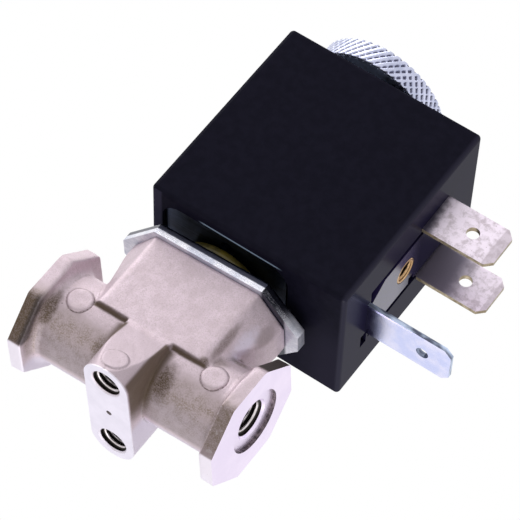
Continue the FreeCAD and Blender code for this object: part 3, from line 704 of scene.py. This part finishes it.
def applied(piece):
    """Turns the piece's modifiers into its mesh."""
    seen = piece.evaluated_get(bpy.context.evaluated_depsgraph_get())
    shape = bpy.data.meshes.new_from_object(seen)
    piece.modifiers.clear()
    piece.data = shape


# %% [markdown]
# The casting has too many points to move one by one, so NumPy reads and moves them all at once.
# Its holes come up twice, as plugs and as tools: one helper turns a round shape for each of them,
# and another joins such shapes to a mesh.

# %% Helpers for the casting
PORT_Z, HOLE_Y = 9.1, 6.5


def rows_of(items, attribute):
    """One attribute of all points or faces of a mesh, as rows of three."""
    flat = np.empty(len(items) * 3, np.float32)
    items.foreach_get(attribute, flat)
    return flat.reshape(-1, 3)


def ramp(values, low, high):
    return np.clip((values - low) / (high - low), 0, 1)


def along_port(side, start=0.0):
    """Local Z runs out of the port on that side, -1 for the inlet and 1 for the outlet."""
    return Matrix.Translation((start, 0, PORT_Z)) @ Matrix.Rotation(math.radians(90 * side), 4, "Y")


def turned_set(port, hole, mark, port_steps, hole_steps):
    """A round shape for each port and each hole of the pad, and one for its centre mark."""
    shapes = [lathe(port, port_steps, along_port(side)) for side in (-1, 1)]
    shapes += [lathe(hole, hole_steps, Matrix.Translation((0, y, 0))) for y in (-HOLE_Y, HOLE_Y)]
    return shapes + [lathe(mark, 24)]


def join(bm, shapes):
    for shape in shapes:
        mesh = bpy.data.meshes.new("shape")
        shape.to_mesh(mesh)
        shape.free()
        bm.from_mesh(mesh)
        bpy.data.meshes.remove(mesh)
    return bm


# %% [markdown]
# ## The casting
# A forging has no sharp corner except where it was cut afterwards. So we go the way the factory
# goes. We take the CAD body, let its cut faces stand proud and fill its holes, remesh it finely and
# smooth it, which rounds every edge, and only then cut the faces and drill the holes again.
# Remeshing after drilling would blur the bores.

# %% Blank of the casting
FACE_X, PAD_HALF, STOCK, VOXEL = 15.55, 3.4, 1.0, 0.14
PORT_PLUG = [(0, 9.3), (4.75, 9.3), (4.75, 16.9), (0, 16.9)]
HOLE_PLUG = [(0, -1.3), (2.25, -1.3), (2.1, 3.2), (0, 3.2)]
MARK_PLUG = [(0, -1.3), (0.8, -1.3), (0.8, 0.9), (0, 0.9)]


def blank_of_body():
    bm = bmesh.new()
    bm.from_mesh(nodes["valve_body"].data)
    bmesh.ops.scale(bm, vec=(1 / MM,) * 3, verts=bm.verts)
    bmesh.ops.remove_doubles(bm, verts=bm.verts, dist=0.001)
    for vert in bm.verts:
        if abs(abs(vert.co.x) - FACE_X) < 0.01:
            vert.co.x += math.copysign(STOCK, vert.co.x)
        elif abs(vert.co.z) < 0.01 and abs(vert.co.x) < PAD_HALF:
            vert.co.z -= STOCK
    return join(bm, turned_set(PORT_PLUG, HOLE_PLUG, MARK_PLUG, 48, 48))


casting = make_object(blank_of_body(), "cast_body",
                      [skin_finish, cut_finish, thread_finish, wall_finish, pad_finish])
SKIN, CUT, THREAD, WALL, PAD = range(5)
remesh = casting.modifiers.new("remesh", "REMESH")
remesh.mode, remesh.voxel_size = "VOXEL", VOXEL * MM
smooth = casting.modifiers.new("smooth", "SMOOTH")
smooth.factor, smooth.iterations = 0.5, 7
applied(casting)
print("blank of the casting, vertices:", len(casting.data.vertices))

# %% [markdown]
# The boss runs into its two lugs in soft hollows, and the flanges into the barrel in a fillet. More
# smoothing of the whole would melt the rest away. So a vertex group says where a second Smooth
# modifier works, and how much.

# %% Soften the hollows and the flanges
def soften(name, iterations, weight_at):
    """More smoothing in one region: weight_at gives 0 to 1 for arrays of x, y and z."""
    weights = weight_at(*(rows_of(casting.data.vertices, "co") / MM).T)
    group = casting.vertex_groups.new(name=name)
    tenths = np.round(weights * 10).astype(int)
    for tenth in range(1, 11):
        group.add(np.flatnonzero(tenths == tenth).tolist(), tenth / 10, "REPLACE")
    smooth = casting.modifiers.new(name, "SMOOTH")
    smooth.factor, smooth.iterations, smooth.vertex_group = 0.5, iterations, name
    applied(casting)
    casting.vertex_groups.clear()
    print("softened", name, "points:", int((tenths > 0).sum()))


def hollow(side, start, foot, top_from, top_to):
    """The hollow on one side of the boss; its weight takes 1.5 mm to set in at start and foot."""
    return lambda x, y, z: (ramp(side * x, start, start + 1.5) * ramp(np.abs(y), 2.5, 4.5)
                            * ramp(z, foot, foot + 1.5) * (1 - ramp(z, top_from, top_to)))


def flange_roots(x, y, z):
    return ramp(np.abs(x), 12.6, 13.2) * (1 - ramp(np.abs(x), 14.3, 14.8))


soften("flare", 110, hollow(1, 5.5, 9.0, 18.5, 20.0))
soften("flare_left", 90, hollow(-1, 6.0, 9.5, 19.6, 20.8))
soften("flanges", 25, flange_roots)

# %% [markdown]
# The skin of a forging is never flat: it is a little uneven over a millimetre or two, the ejector
# pins leave round marks with a groove about them, and the two dies leave a fine line all round the
# middle. We move the points of the mesh itself, along their normals, so that these things catch
# the light as real shape.

# %% Unevenness, pin marks and die line
PIN_X, BLOCK_PIN_Z, PIN_RADIUS, GROOVE_DEPTH, DIE_LINE = 10.2, 2.35, 1.7, 0.07, 0.05
LEAN = 0.948


def groove(on_face, away):
    """The groove round a pin mark, as a depth for every point."""
    return on_face * GROOVE_DEPTH * np.exp(-((away - PIN_RADIUS - 0.08) / 0.1) ** 2)


def round_up_barrel(co):
    """The CAD mesh's barrel has small flats: its points go back on the true cylinder."""
    radial = np.hypot(co[:, 1], co[:, 2] - BARREL_Z)
    on_tube = (np.abs(radial - BARREL_RADIUS) < 0.08) & (np.abs(co[:, 0]) < 12.6)
    on_tube |= ((np.abs(radial - BARREL_RADIUS) < 0.5) & (co[:, 2] < 6.4)
                & (np.abs(np.abs(co[:, 0]) - 8.2) < 4.0))
    stretch = np.where(on_tube, BARREL_RADIUS / radial, 1.0)
    co[:, 1] *= stretch
    co[:, 2] = BARREL_Z + (co[:, 2] - BARREL_Z) * stretch


def shape_skin(mesh):
    co, normal = rows_of(mesh.vertices, "co") / MM, rows_of(mesh.vertex_normals, "vector")
    round_up_barrel(co)
    uneven = np.array([noise.noise(Vector(p) * 0.9) + 0.5 * noise.noise(Vector(p) * 2.3)
                       for p in co])
    push = -0.025 + 0.02 * uneven
    on_side = (np.abs(co[:, 1]) > 5.4) & (np.abs(normal[:, 1]) > 0.7)
    for x in (-PIN_X, PIN_X):
        push -= groove(on_side, np.hypot(co[:, 0] - x, co[:, 2] - BARREL_Z))
    on_block = (np.abs(co[:, 1]) > 8.0) & (co[:, 2] > 0.3)
    push -= groove(on_block, np.hypot(co[:, 0], (co[:, 2] - BLOCK_PIN_Z) / LEAN))
    on_barrel = (np.abs(co[:, 0]) > 4.2) & (np.abs(co[:, 0]) < 13.2) & (co[:, 2] < 9.0)
    push += on_barrel * DIE_LINE * np.exp(-(co[:, 1] / 0.09) ** 2)
    mesh.vertices.foreach_set("co", ((co + normal * push[:, None]) * MM).ravel())
    mesh.update()
    return uneven


uneven = shape_skin(casting.data)
print("unevenness of the skin:", round(float(uneven.min()), 2), "to", round(float(uneven.max()), 2))

# %% [markdown]
# Now the cutter. The two port faces and the pad face are planes, so a bisect with a filled cut is
# enough and stays crisp. The bores want round tools, so they are cut with a Boolean, all in one go.

# %% Cut the faces and drill the holes
def face_off(bm, point, direction):
    """Cuts away what stands beyond a plane and closes the cut."""
    result = bmesh.ops.bisect_plane(bm, geom=[*bm.verts, *bm.edges, *bm.faces], dist=1e-5,
                                    plane_co=point, plane_no=direction, clear_outer=True)
    rim = [e for e in result["geom_cut"] if isinstance(e, bmesh.types.BMEdge) and e.is_boundary]
    filled = bmesh.ops.triangle_fill(bm, use_beauty=True, use_dissolve=False, edges=rim,
                                     normal=direction)
    return sum(isinstance(f, bmesh.types.BMFace) for f in filled["geom"])


bm = bmesh.new()
bm.from_mesh(casting.data)
bmesh.ops.scale(bm, vec=(1 / MM,) * 3, verts=bm.verts)
for side in (-1, 1):
    print("port face triangles:", face_off(bm, (side * FACE_X, 0, 0), (side, 0, 0)))
print("pad face triangles:", face_off(bm, (0, 0, 0), (0, 0, -1)))
bmesh.ops.scale(bm, vec=(MM,) * 3, verts=bm.verts)
bm.to_mesh(casting.data)
bm.free()

PORT_TOOL = [(0, 9.2), (1.5, 9.2), (2.5, 9.52), (2.5, 14.67), (2.85, 15.02), (4.5, 15.02),
             (4.5, 17), (0, 17)]
HOLE_TOOL = [(0, -1), (2.4, -1), (2.4, -0.2), (2.0, 0.2), (2.0, 2.7), (0, 3.0)]
MARK_TOOL = [(0, -0.5), (0.75, -0.5), (0.4, 0.0), (0.25, 0.3), (0, 0.35)]
tools = join(bmesh.new(), turned_set(PORT_TOOL, HOLE_TOOL, MARK_TOOL, 96, 72))
drill = make_object(tools, "drill", [])
boolean = casting.modifiers.new("drill", "BOOLEAN")
boolean.object, boolean.solver = drill, "EXACT"
applied(casting)
bpy.data.objects.remove(drill)
print("drilled casting, faces:", len(casting.data.polygons))

# %% [markdown]
# The cut metal is bright and the skin is matt, so each face needs its own finish. We could mark
# faces while we cut, but a mark doesn't always last through the Boolean. Every face knows its
# centre, and the planes, bores and walls are easy to tell by that.

# %% Give the cut metal its own finish
HAIR = 0.003


def paint_cuts(mesh):
    x, y, z = (rows_of(mesh.polygons, "center") / MM).T
    index = np.full(len(mesh.polygons), SKIN, np.int32)
    port, pad = np.hypot(y, z - PORT_Z), np.hypot(x, np.abs(y) - HOLE_Y)
    at_face, inside_face = np.abs(x) > FACE_X - HAIR, np.abs(x) < FACE_X - HAIR
    index[z < HAIR] = PAD
    index[at_face] = CUT
    index[(port < 4.53) & (np.abs(x) > 9.1)] = CUT
    index[(port < 2.52) & (np.abs(x) > 9.1) & (np.abs(x) < 14.9)] = THREAD
    index[(pad < 2.05) & (z > 0.15) & (z < 3.3)] = THREAD
    index[(port > 4.3) & (port < 4.53) & (np.abs(x) > 15.04) & inside_face] = WALL
    index[(np.hypot(x, y) < 0.6) & (z > HAIR) & (z < 0.6)] = WALL
    index[(z < HAIR) & (np.abs(x) > PAD_HALF + 0.2) & inside_face] = SKIN
    mesh.polygons.foreach_set("material_index", index)
    mesh.shade_smooth()
    mesh.set_sharp_from_angle(angle=math.radians(38))
    return int((index > 0).sum())


print("cut faces painted:", paint_cuts(casting.data))
fit(casting, "valve", "body_metal", "valve_body")

# %% [markdown]
# ## Threads
# A tapped hole shows as a stack of bright ridges. A texture can fake that from one side only, so
# the thread is real: a sleeve whose inner wall winds inward and outward by the pitch once per
# turn, sunk a hair into the bore's wall.

# %% Threaded sleeves
SLEEVE_WALL, ROWS_PER_TURN = 0.12, 10


def thread_sleeve(major, minor, pitch, length, at, steps=72):
    bm = bmesh.new()
    crest_layer = bm.verts.layers.float.new("crest")
    rows = int(length / pitch * ROWS_PER_TURN)

    def ring(height, radii):
        turns = [math.tau * i / steps for i in range(steps)]
        return [bm.verts.new(at @ Vector((radius * math.cos(a), radius * math.sin(a), height)))
                for radius, a in zip(radii, turns)]

    rings = []
    for row in range(rows + 1):
        height = length * row / rows
        fade = min(1.0, height / (0.7 * pitch), (length - height) / (0.7 * pitch) + 0.2)
        waves = [(height / pitch - i / steps) % 1.0 for i in range(steps)]
        teeth = [min(1.0, max(0.0, 1.5 - 4.0 * abs(wave - 0.5))) for wave in waves]
        rings.append(ring(height, [major - (major - minor) * tooth * fade for tooth in teeth]))
        for vert, tooth in zip(rings[-1], teeth):
            vert[crest_layer] = tooth * fade
    rings += [ring(height, [major + SLEEVE_WALL] * steps) for height in (length, 0.0)]
    for low, high in zip(rings, rings[1:] + rings[:1]):
        band(bm, low, high)
    bmesh.ops.recalc_face_normals(bm, faces=bm.faces)
    return bm


def add_thread(name, body, slot_name, material, *sizes):
    fit(make_object(thread_sleeve(*sizes), name, [material], 50), body, slot_name)


for name, side in (("inlet_thread", -1), ("outlet_thread", 1)):
    inwards = along_port(-side, side * 14.72)
    add_thread(name, "valve", "body_metal", thread_finish, 2.5, 2.08, 0.8, 4.8, inwards)
for name, y in (("pad_thread_front", -HOLE_Y), ("pad_thread_rear", HOLE_Y)):
    upwards = Matrix.Translation((0, y, 0.25))
    add_thread(name, "valve", "body_metal", thread_finish, 2.0, 1.64, 0.7, 2.3, upwards)

# %% [markdown]
# ## Blades
# A plug blade is stamped from strip and coined at its tip, so that a socket slides over it. Both
# faces slope down to a thin rim: about a millimetre wide at the tip and a few tenths along the
# sides. A plain plate with a Bevel modifier would give every edge the same slope, so we draw two
# outlines and join them.

# %% Blades
HALF_WIDTH, THICKNESS, RIM, CORNER, HOLE_RADIUS = 3.15, 0.8, 0.62, 1.0, 0.9
TIP_SLOPE, SIDE_SLOPE = 1.05, 0.24


def blade_outline(end, half, cut):
    """Square at the root, with two cut corners at the tip."""
    return [(0, -half), (end - cut, -half), (end, -half + cut),
            (end, half - cut), (end - cut, half), (0, half)]


def blade(length, hole_at, at, steps=40):
    """A blade along local X, facing local Z; its rim and the hole's wall get the second finish."""
    bm = bmesh.new()
    outer = blade_outline(length, HALF_WIDTH, CORNER)
    inner = blade_outline(length - TIP_SLOPE, HALF_WIDTH - SIDE_SLOPE, CORNER * 0.75)
    turns = [math.tau * i / steps for i in range(steps)]
    hole = [(hole_at + HOLE_RADIUS * math.cos(a), HOLE_RADIUS * math.sin(a)) for a in turns]

    def both_faces(points, thickness):
        return [[bm.verts.new(at @ Vector((u, v, sign * thickness / 2))) for u, v in points]
                for sign in (-1, 1)]

    rims = both_faces(outer, RIM)
    lands, holes = both_faces(inner, THICKNESS), both_faces(hole, THICKNESS)
    for pair in zip(lands, holes):
        edges = [bm.edges.new((ring[i], ring[(i + 1) % len(ring)]))
                 for ring in pair for i in range(len(ring))]
        bmesh.ops.triangle_fill(bm, use_beauty=True, edges=edges)
    for land, rim in zip(lands, rims):
        band(bm, land, rim)
    band(bm, *rims, 1)
    band(bm, *holes, 1)
    bmesh.ops.recalc_face_normals(bm, faces=bm.faces)
    return bm


UPRIGHT, FLAT = Matrix(((1, 0, 0), (0, 0, -1), (0, 1, 0))).to_4x4(), Matrix.Identity(4)
BLADES = [
    # piece, CAD node, slot, way, root, length, hole, finishes
    ("front_power_blade", "power_blade_front", "blade_tin", UPRIGHT, (12.5, -5.5, 45.06),
     15.57, 11.08, [front_tin, edge_finish]),
    ("rear_power_blade", "power_blade_rear", "blade_tin", UPRIGHT, (12.5, 5.5, 45.06),
     15.57, 11.08, [rear_tin, edge_finish]),
    ("earth_blade", "ground_blade", "ground_zinc", FLAT, (12.5, 0.0, 30.18),
     17.97, 13.93, [ground_finish, underside_finish]),
]
for name, node, slot_name, way, root, length, hole_at, finishes in BLADES:
    shape = blade(length, hole_at, coil_angle @ Matrix.Translation(root) @ way)
    fit(make_object(shape, name, finishes, 12), "coil", slot_name, node)

# %% [markdown]
# ## The knurled nut
# A knurling wheel presses two sets of crossing ridges into the rim, and leaves rows of small pits
# between them. The pits here sit 7 degrees apart and 0.62 mm above each other, with each row
# shifted by half a step, as counted in the photograph. A bump map would leave the outline smooth,
# but the real rim is toothed, so we move the mesh. One set of ridges is pressed deeper on each
# side of the rim, so the pits run together one way there.

# %% Knurled nut
TEETH, FIRST_TOOTH, ROW, FIRST_PIT, PIT_DEPTH = 51, -93.0, 0.62, 58.05, 0.30
RIM_LOW, RIM_HIGH, RIM_RADIUS, RIM_ROUND = 57.47, 60.57, 9.5, 0.12
UNDERSIDE_RINGS = 7


def within(value):
    return min(1.0, max(0.0, value))


def pit_at(angle, height):
    """0 on the ridges, 1 at the bottom of a pit."""
    around = TEETH * (angle - math.radians(FIRST_TOOTH)) / math.tau
    up = (height - FIRST_PIT) / (2 * ROW)
    u, v = around + up, around - up
    turn = within((math.degrees(math.atan2(math.sin(angle), math.cos(angle))) + 66.0) / 14.0)
    across_u = abs(u - round(u)) * (0.80 + 0.65 * turn)
    across_v = abs(v - round(v)) * (1.55 - 0.70 * turn)
    return within((0.78 - 2 * max(across_u, across_v)) / 0.5)


def nut_profile(rows):
    """Radius, height and how much of the knurl each ring takes."""
    below = [(3.05, 57.0, 0), (3.45, 56.6, 0), (6.35, 56.6, 0), (6.6, 56.85, 0), (6.6, 57.02, 0),
             (6.75, 57.07, 0), (9.1, 57.41, 0), (9.38, 57.45, 0.8)]
    rim = [(RIM_RADIUS, RIM_LOW + (RIM_HIGH - RIM_LOW) * row / rows, 1) for row in range(rows + 1)]
    above = [(9.3, RIM_HIGH, 0.6), (8.9, RIM_HIGH, 0), (4.0, RIM_HIGH, 0), (3.5, RIM_HIGH, 0),
             (3.05, 60.12, 0)]
    return below + rim + above


def knurled_nut(steps=TEETH * 14, rows=35):
    bm = bmesh.new()
    depth_layer = bm.verts.layers.float.new("pit")
    rings = []
    for radius, height, knurl in nut_profile(rows):
        ends = ((height - RIM_LOW) / RIM_ROUND + 0.55, (RIM_HIGH - height) / RIM_ROUND + 0.55)
        full = min(1.0, *ends) if knurl else 1.0
        ring = []
        for i in range(steps):
            angle = math.tau * i / steps
            pit = pit_at(angle, height) * knurl
            reach = radius - PIT_DEPTH * pit - (1 - full) * RIM_ROUND * knurl
            ring.append(bm.verts.new((reach * math.cos(angle), reach * math.sin(angle), height)))
            ring[-1][depth_layer] = pit
        rings.append(ring)
    for k, (low, high) in enumerate(zip(rings, rings[1:] + rings[:1])):
        band(bm, low, high, 1 if k < UNDERSIDE_RINGS else 0)
    bmesh.ops.recalc_face_normals(bm, faces=bm.faces)
    return bm


nut = make_object(knurled_nut(), "round_knurled_nut", [knurl_finish, underside_finish], 40)
fit(nut, "nut", "nut_zinc", "knurled_nut")

# %% [markdown]
# ## The brass insert
# The socket's fixing screw goes into a brass insert moulded into the coil. It is threaded too, so
# the sleeve helper serves again, inside a lathe-turned shell whose lip is rounded off.

# %% Brass insert
SHELL = [(1.52, 0.0), (1.95, 0.0), (1.95, 5.85), (1.8, 6.0), (1.62, 6.0), (1.52, 5.9)]
lengthwise = Matrix.Rotation(math.radians(90), 4, "Y")
insert_at = coil_angle @ Matrix.Translation((12.0, 0, 38.8)) @ lengthwise
shell = make_object(lathe(SHELL, 72, insert_at), "insert_shell", [bore_finish])
fit(shell, "coil", "insert_brass", "screw_insert")
add_thread("insert_thread", "coil", "insert_brass", bore_finish,
           1.54, 1.26, 0.5, 5.6, insert_at @ Matrix.Translation((0, 0, 0.2)))
low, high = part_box("screw_insert")
print("insert from", round(low.x / MM, 2), "to", round(high.x / MM, 2))

# %% [markdown]
# ## The return spring
# The spring stands between the plunger and the fixed core, so it gets shorter when the plunger
# lifts. A rigid copy would run into the core, and a second model for each position would be too
# much. So we keep its CAD shape and let it ride on the plunger.

# %% Return spring
low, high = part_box("return_spring")
stroke = next(joint for joint in frame["joints"] if joint["name"] == "plunger_lift")["range_m"][1]
coiled = nodes["return_spring"].data.copy()
coiled.transform(nodes["return_spring"].matrix_world)
coiled.materials.clear()
coiled.materials.append(metal_finishes["spring_steel"])
spring = bpy.data.objects.new("wound_spring", coiled)
bpy.context.scene.collection.objects.link(spring)
fit(spring, "armature", "spring_steel", "return_spring")
1 - stroke / (high.z - low.z)
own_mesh(spring)
print("spring length in mm:", round((high.z - low.z) / MM, 2), "shortens by", stroke / MM)

# %% [markdown]
# ## Finishes on the pieces that stay
# The remaining CAD pieces already have the right shape. Finer copies would look no different, so
# they only get a finish.

# %% Dress the remaining nodes
DRESS = [
    # finish, nodes
    (metal_finishes["seat_brass"], ["valve_seat"]),
    (metal_finishes["tube_steel"], ["armature_tube"]),
    (metal_finishes["core_steel"], ["fixed_core", "plunger"]),
    (metal_finishes["copper"], ["shading_ring", "coil_winding"]),
    (metal_finishes["screw_zinc"], ["plate_screw_left", "plate_screw_right"]),
    (metal_finishes["bright_zinc"], ["nut_washer"]),
    (metal_finishes["yoke_steel"], ["yoke_frame"]),
    (plastic_finishes["seal_rubber"], ["tube_o_ring", "plunger_seal"]),
    (plastic_finishes["olive_rubber"], ["coil_base_seal"]),
    (plastic_finishes["spool_black"], ["coil_bobbin"]),
    (plate_finish, ["retaining_plate"]),
    (coil_finish, ["coil_housing"]),
]
for material, dressed in DRESS:
    for name in dressed:
        for slot in nodes[name].material_slots:
            slot.material = material
print("dressed nodes:", sum(len(dressed) for material, dressed in DRESS))

# %% [markdown]
# ## The studio
# A product photograph is taken on a plain pale sheet. One that curves up behind the part would
# show its bend from some sides, so ours is a flat disc. The photograph's camera stands below it,
# so it only shows its upper side and lets light through, and the other views still get a shadow.

# %% Floor
FLOOR_RADIUS, FLOOR_DROP = 420.0, 0.05
disc = bmesh.new()
bmesh.ops.create_circle(disc, cap_ends=True, segments=128, radius=FLOOR_RADIUS)


def floor_paint(place):
    return {"Base Color": cloud(place, 0.01).mix(rgb(0.90, 0.90, 0.90), rgb(0.93, 0.93, 0.93))}


floor_finish = finish("pale_floor", floor_paint, Roughness=0.9)
tree = floor_finish.node_tree
from_below = Socket(tree).node("ShaderNodeNewGeometry", out="Backfacing")
surface = Socket(tree, tree.nodes["Principled BSDF"].outputs[0])
clear = surface.node("ShaderNodeBsdfTransparent")
shown = surface.node("ShaderNodeMixShader", values={0: from_below, 1: surface, 2: clear})
tree.links.new(shown.socket, tree.nodes["Material Output"].inputs["Surface"])
floor = make_object(disc, "floor", [floor_finish])
floor.location.z = -FLOOR_DROP * MM
for kind in ("shadow", "diffuse", "glossy", "transmission"):
    setattr(floor, "visible_" + kind, False)
print("floor radius in mm:", FLOOR_RADIUS)

# %% [markdown]
# Light tents make such pictures: white all round, with lamps that shine through the cloth. The
# room is white where the camera, metal or glass looks, and softer where it only fills the shadows.
# Four round lamps give the light its direction, the strongest from the upper left.

# %% Room and lamps
world = bpy.data.worlds.new("white_room")
world.use_nodes = True
bpy.context.scene.world = world
tree = world.node_tree
rays = Socket(tree).node("ShaderNodeLightPath", out="Is Camera Ray")
shown_rays = rays + rays.other("Is Glossy Ray") + rays.other("Is Transmission Ray")
seen = rays.math("MINIMUM", shown_rays, 1.0)
white = rays.node("ShaderNodeBackground", values={"Color": rgb(1, 1, 1), "Strength": 1.0})
fill = rays.node("ShaderNodeBackground", values={"Color": rgb(0.95, 0.95, 1.0), "Strength": 0.45})
shown = rays.node("ShaderNodeMixShader", values={0: seen, 1: fill, 2: white})
tree.links.new(shown.socket, tree.nodes["World Output"].inputs["Surface"])

LAMP_SIZE, LAMP_DISTANCE = 0.55, 0.6
LAMPS = [
    # name, direction, power
    ("softbox", (-0.7, -0.4, 0.6), 1.9),
    ("table_bounce", (0.3, 0.45, -0.85), 1.3),
    ("soft_right", (0.9, 0.1, 0.45), 0.12),
    ("top_back", (-0.2, 0.6, 0.9), 0.9),
]
middle = Vector((0.003, 0.0, 0.028))
for name, direction, power in LAMPS:
    data = bpy.data.lights.new(name, "AREA")
    data.shape, data.size, data.energy = "DISK", LAMP_SIZE, power
    lamp = bpy.data.objects.new(name, data)
    lamp.location = middle + Vector(direction).normalized() * LAMP_DISTANCE
    lamp.rotation_euler = (-Vector(direction)).to_track_quat("-Z", "Y").to_euler()
    bpy.context.scene.collection.objects.link(lamp)
bpy.context.scene.view_settings.view_transform = "Standard"
print("lamps:", len(LAMPS))
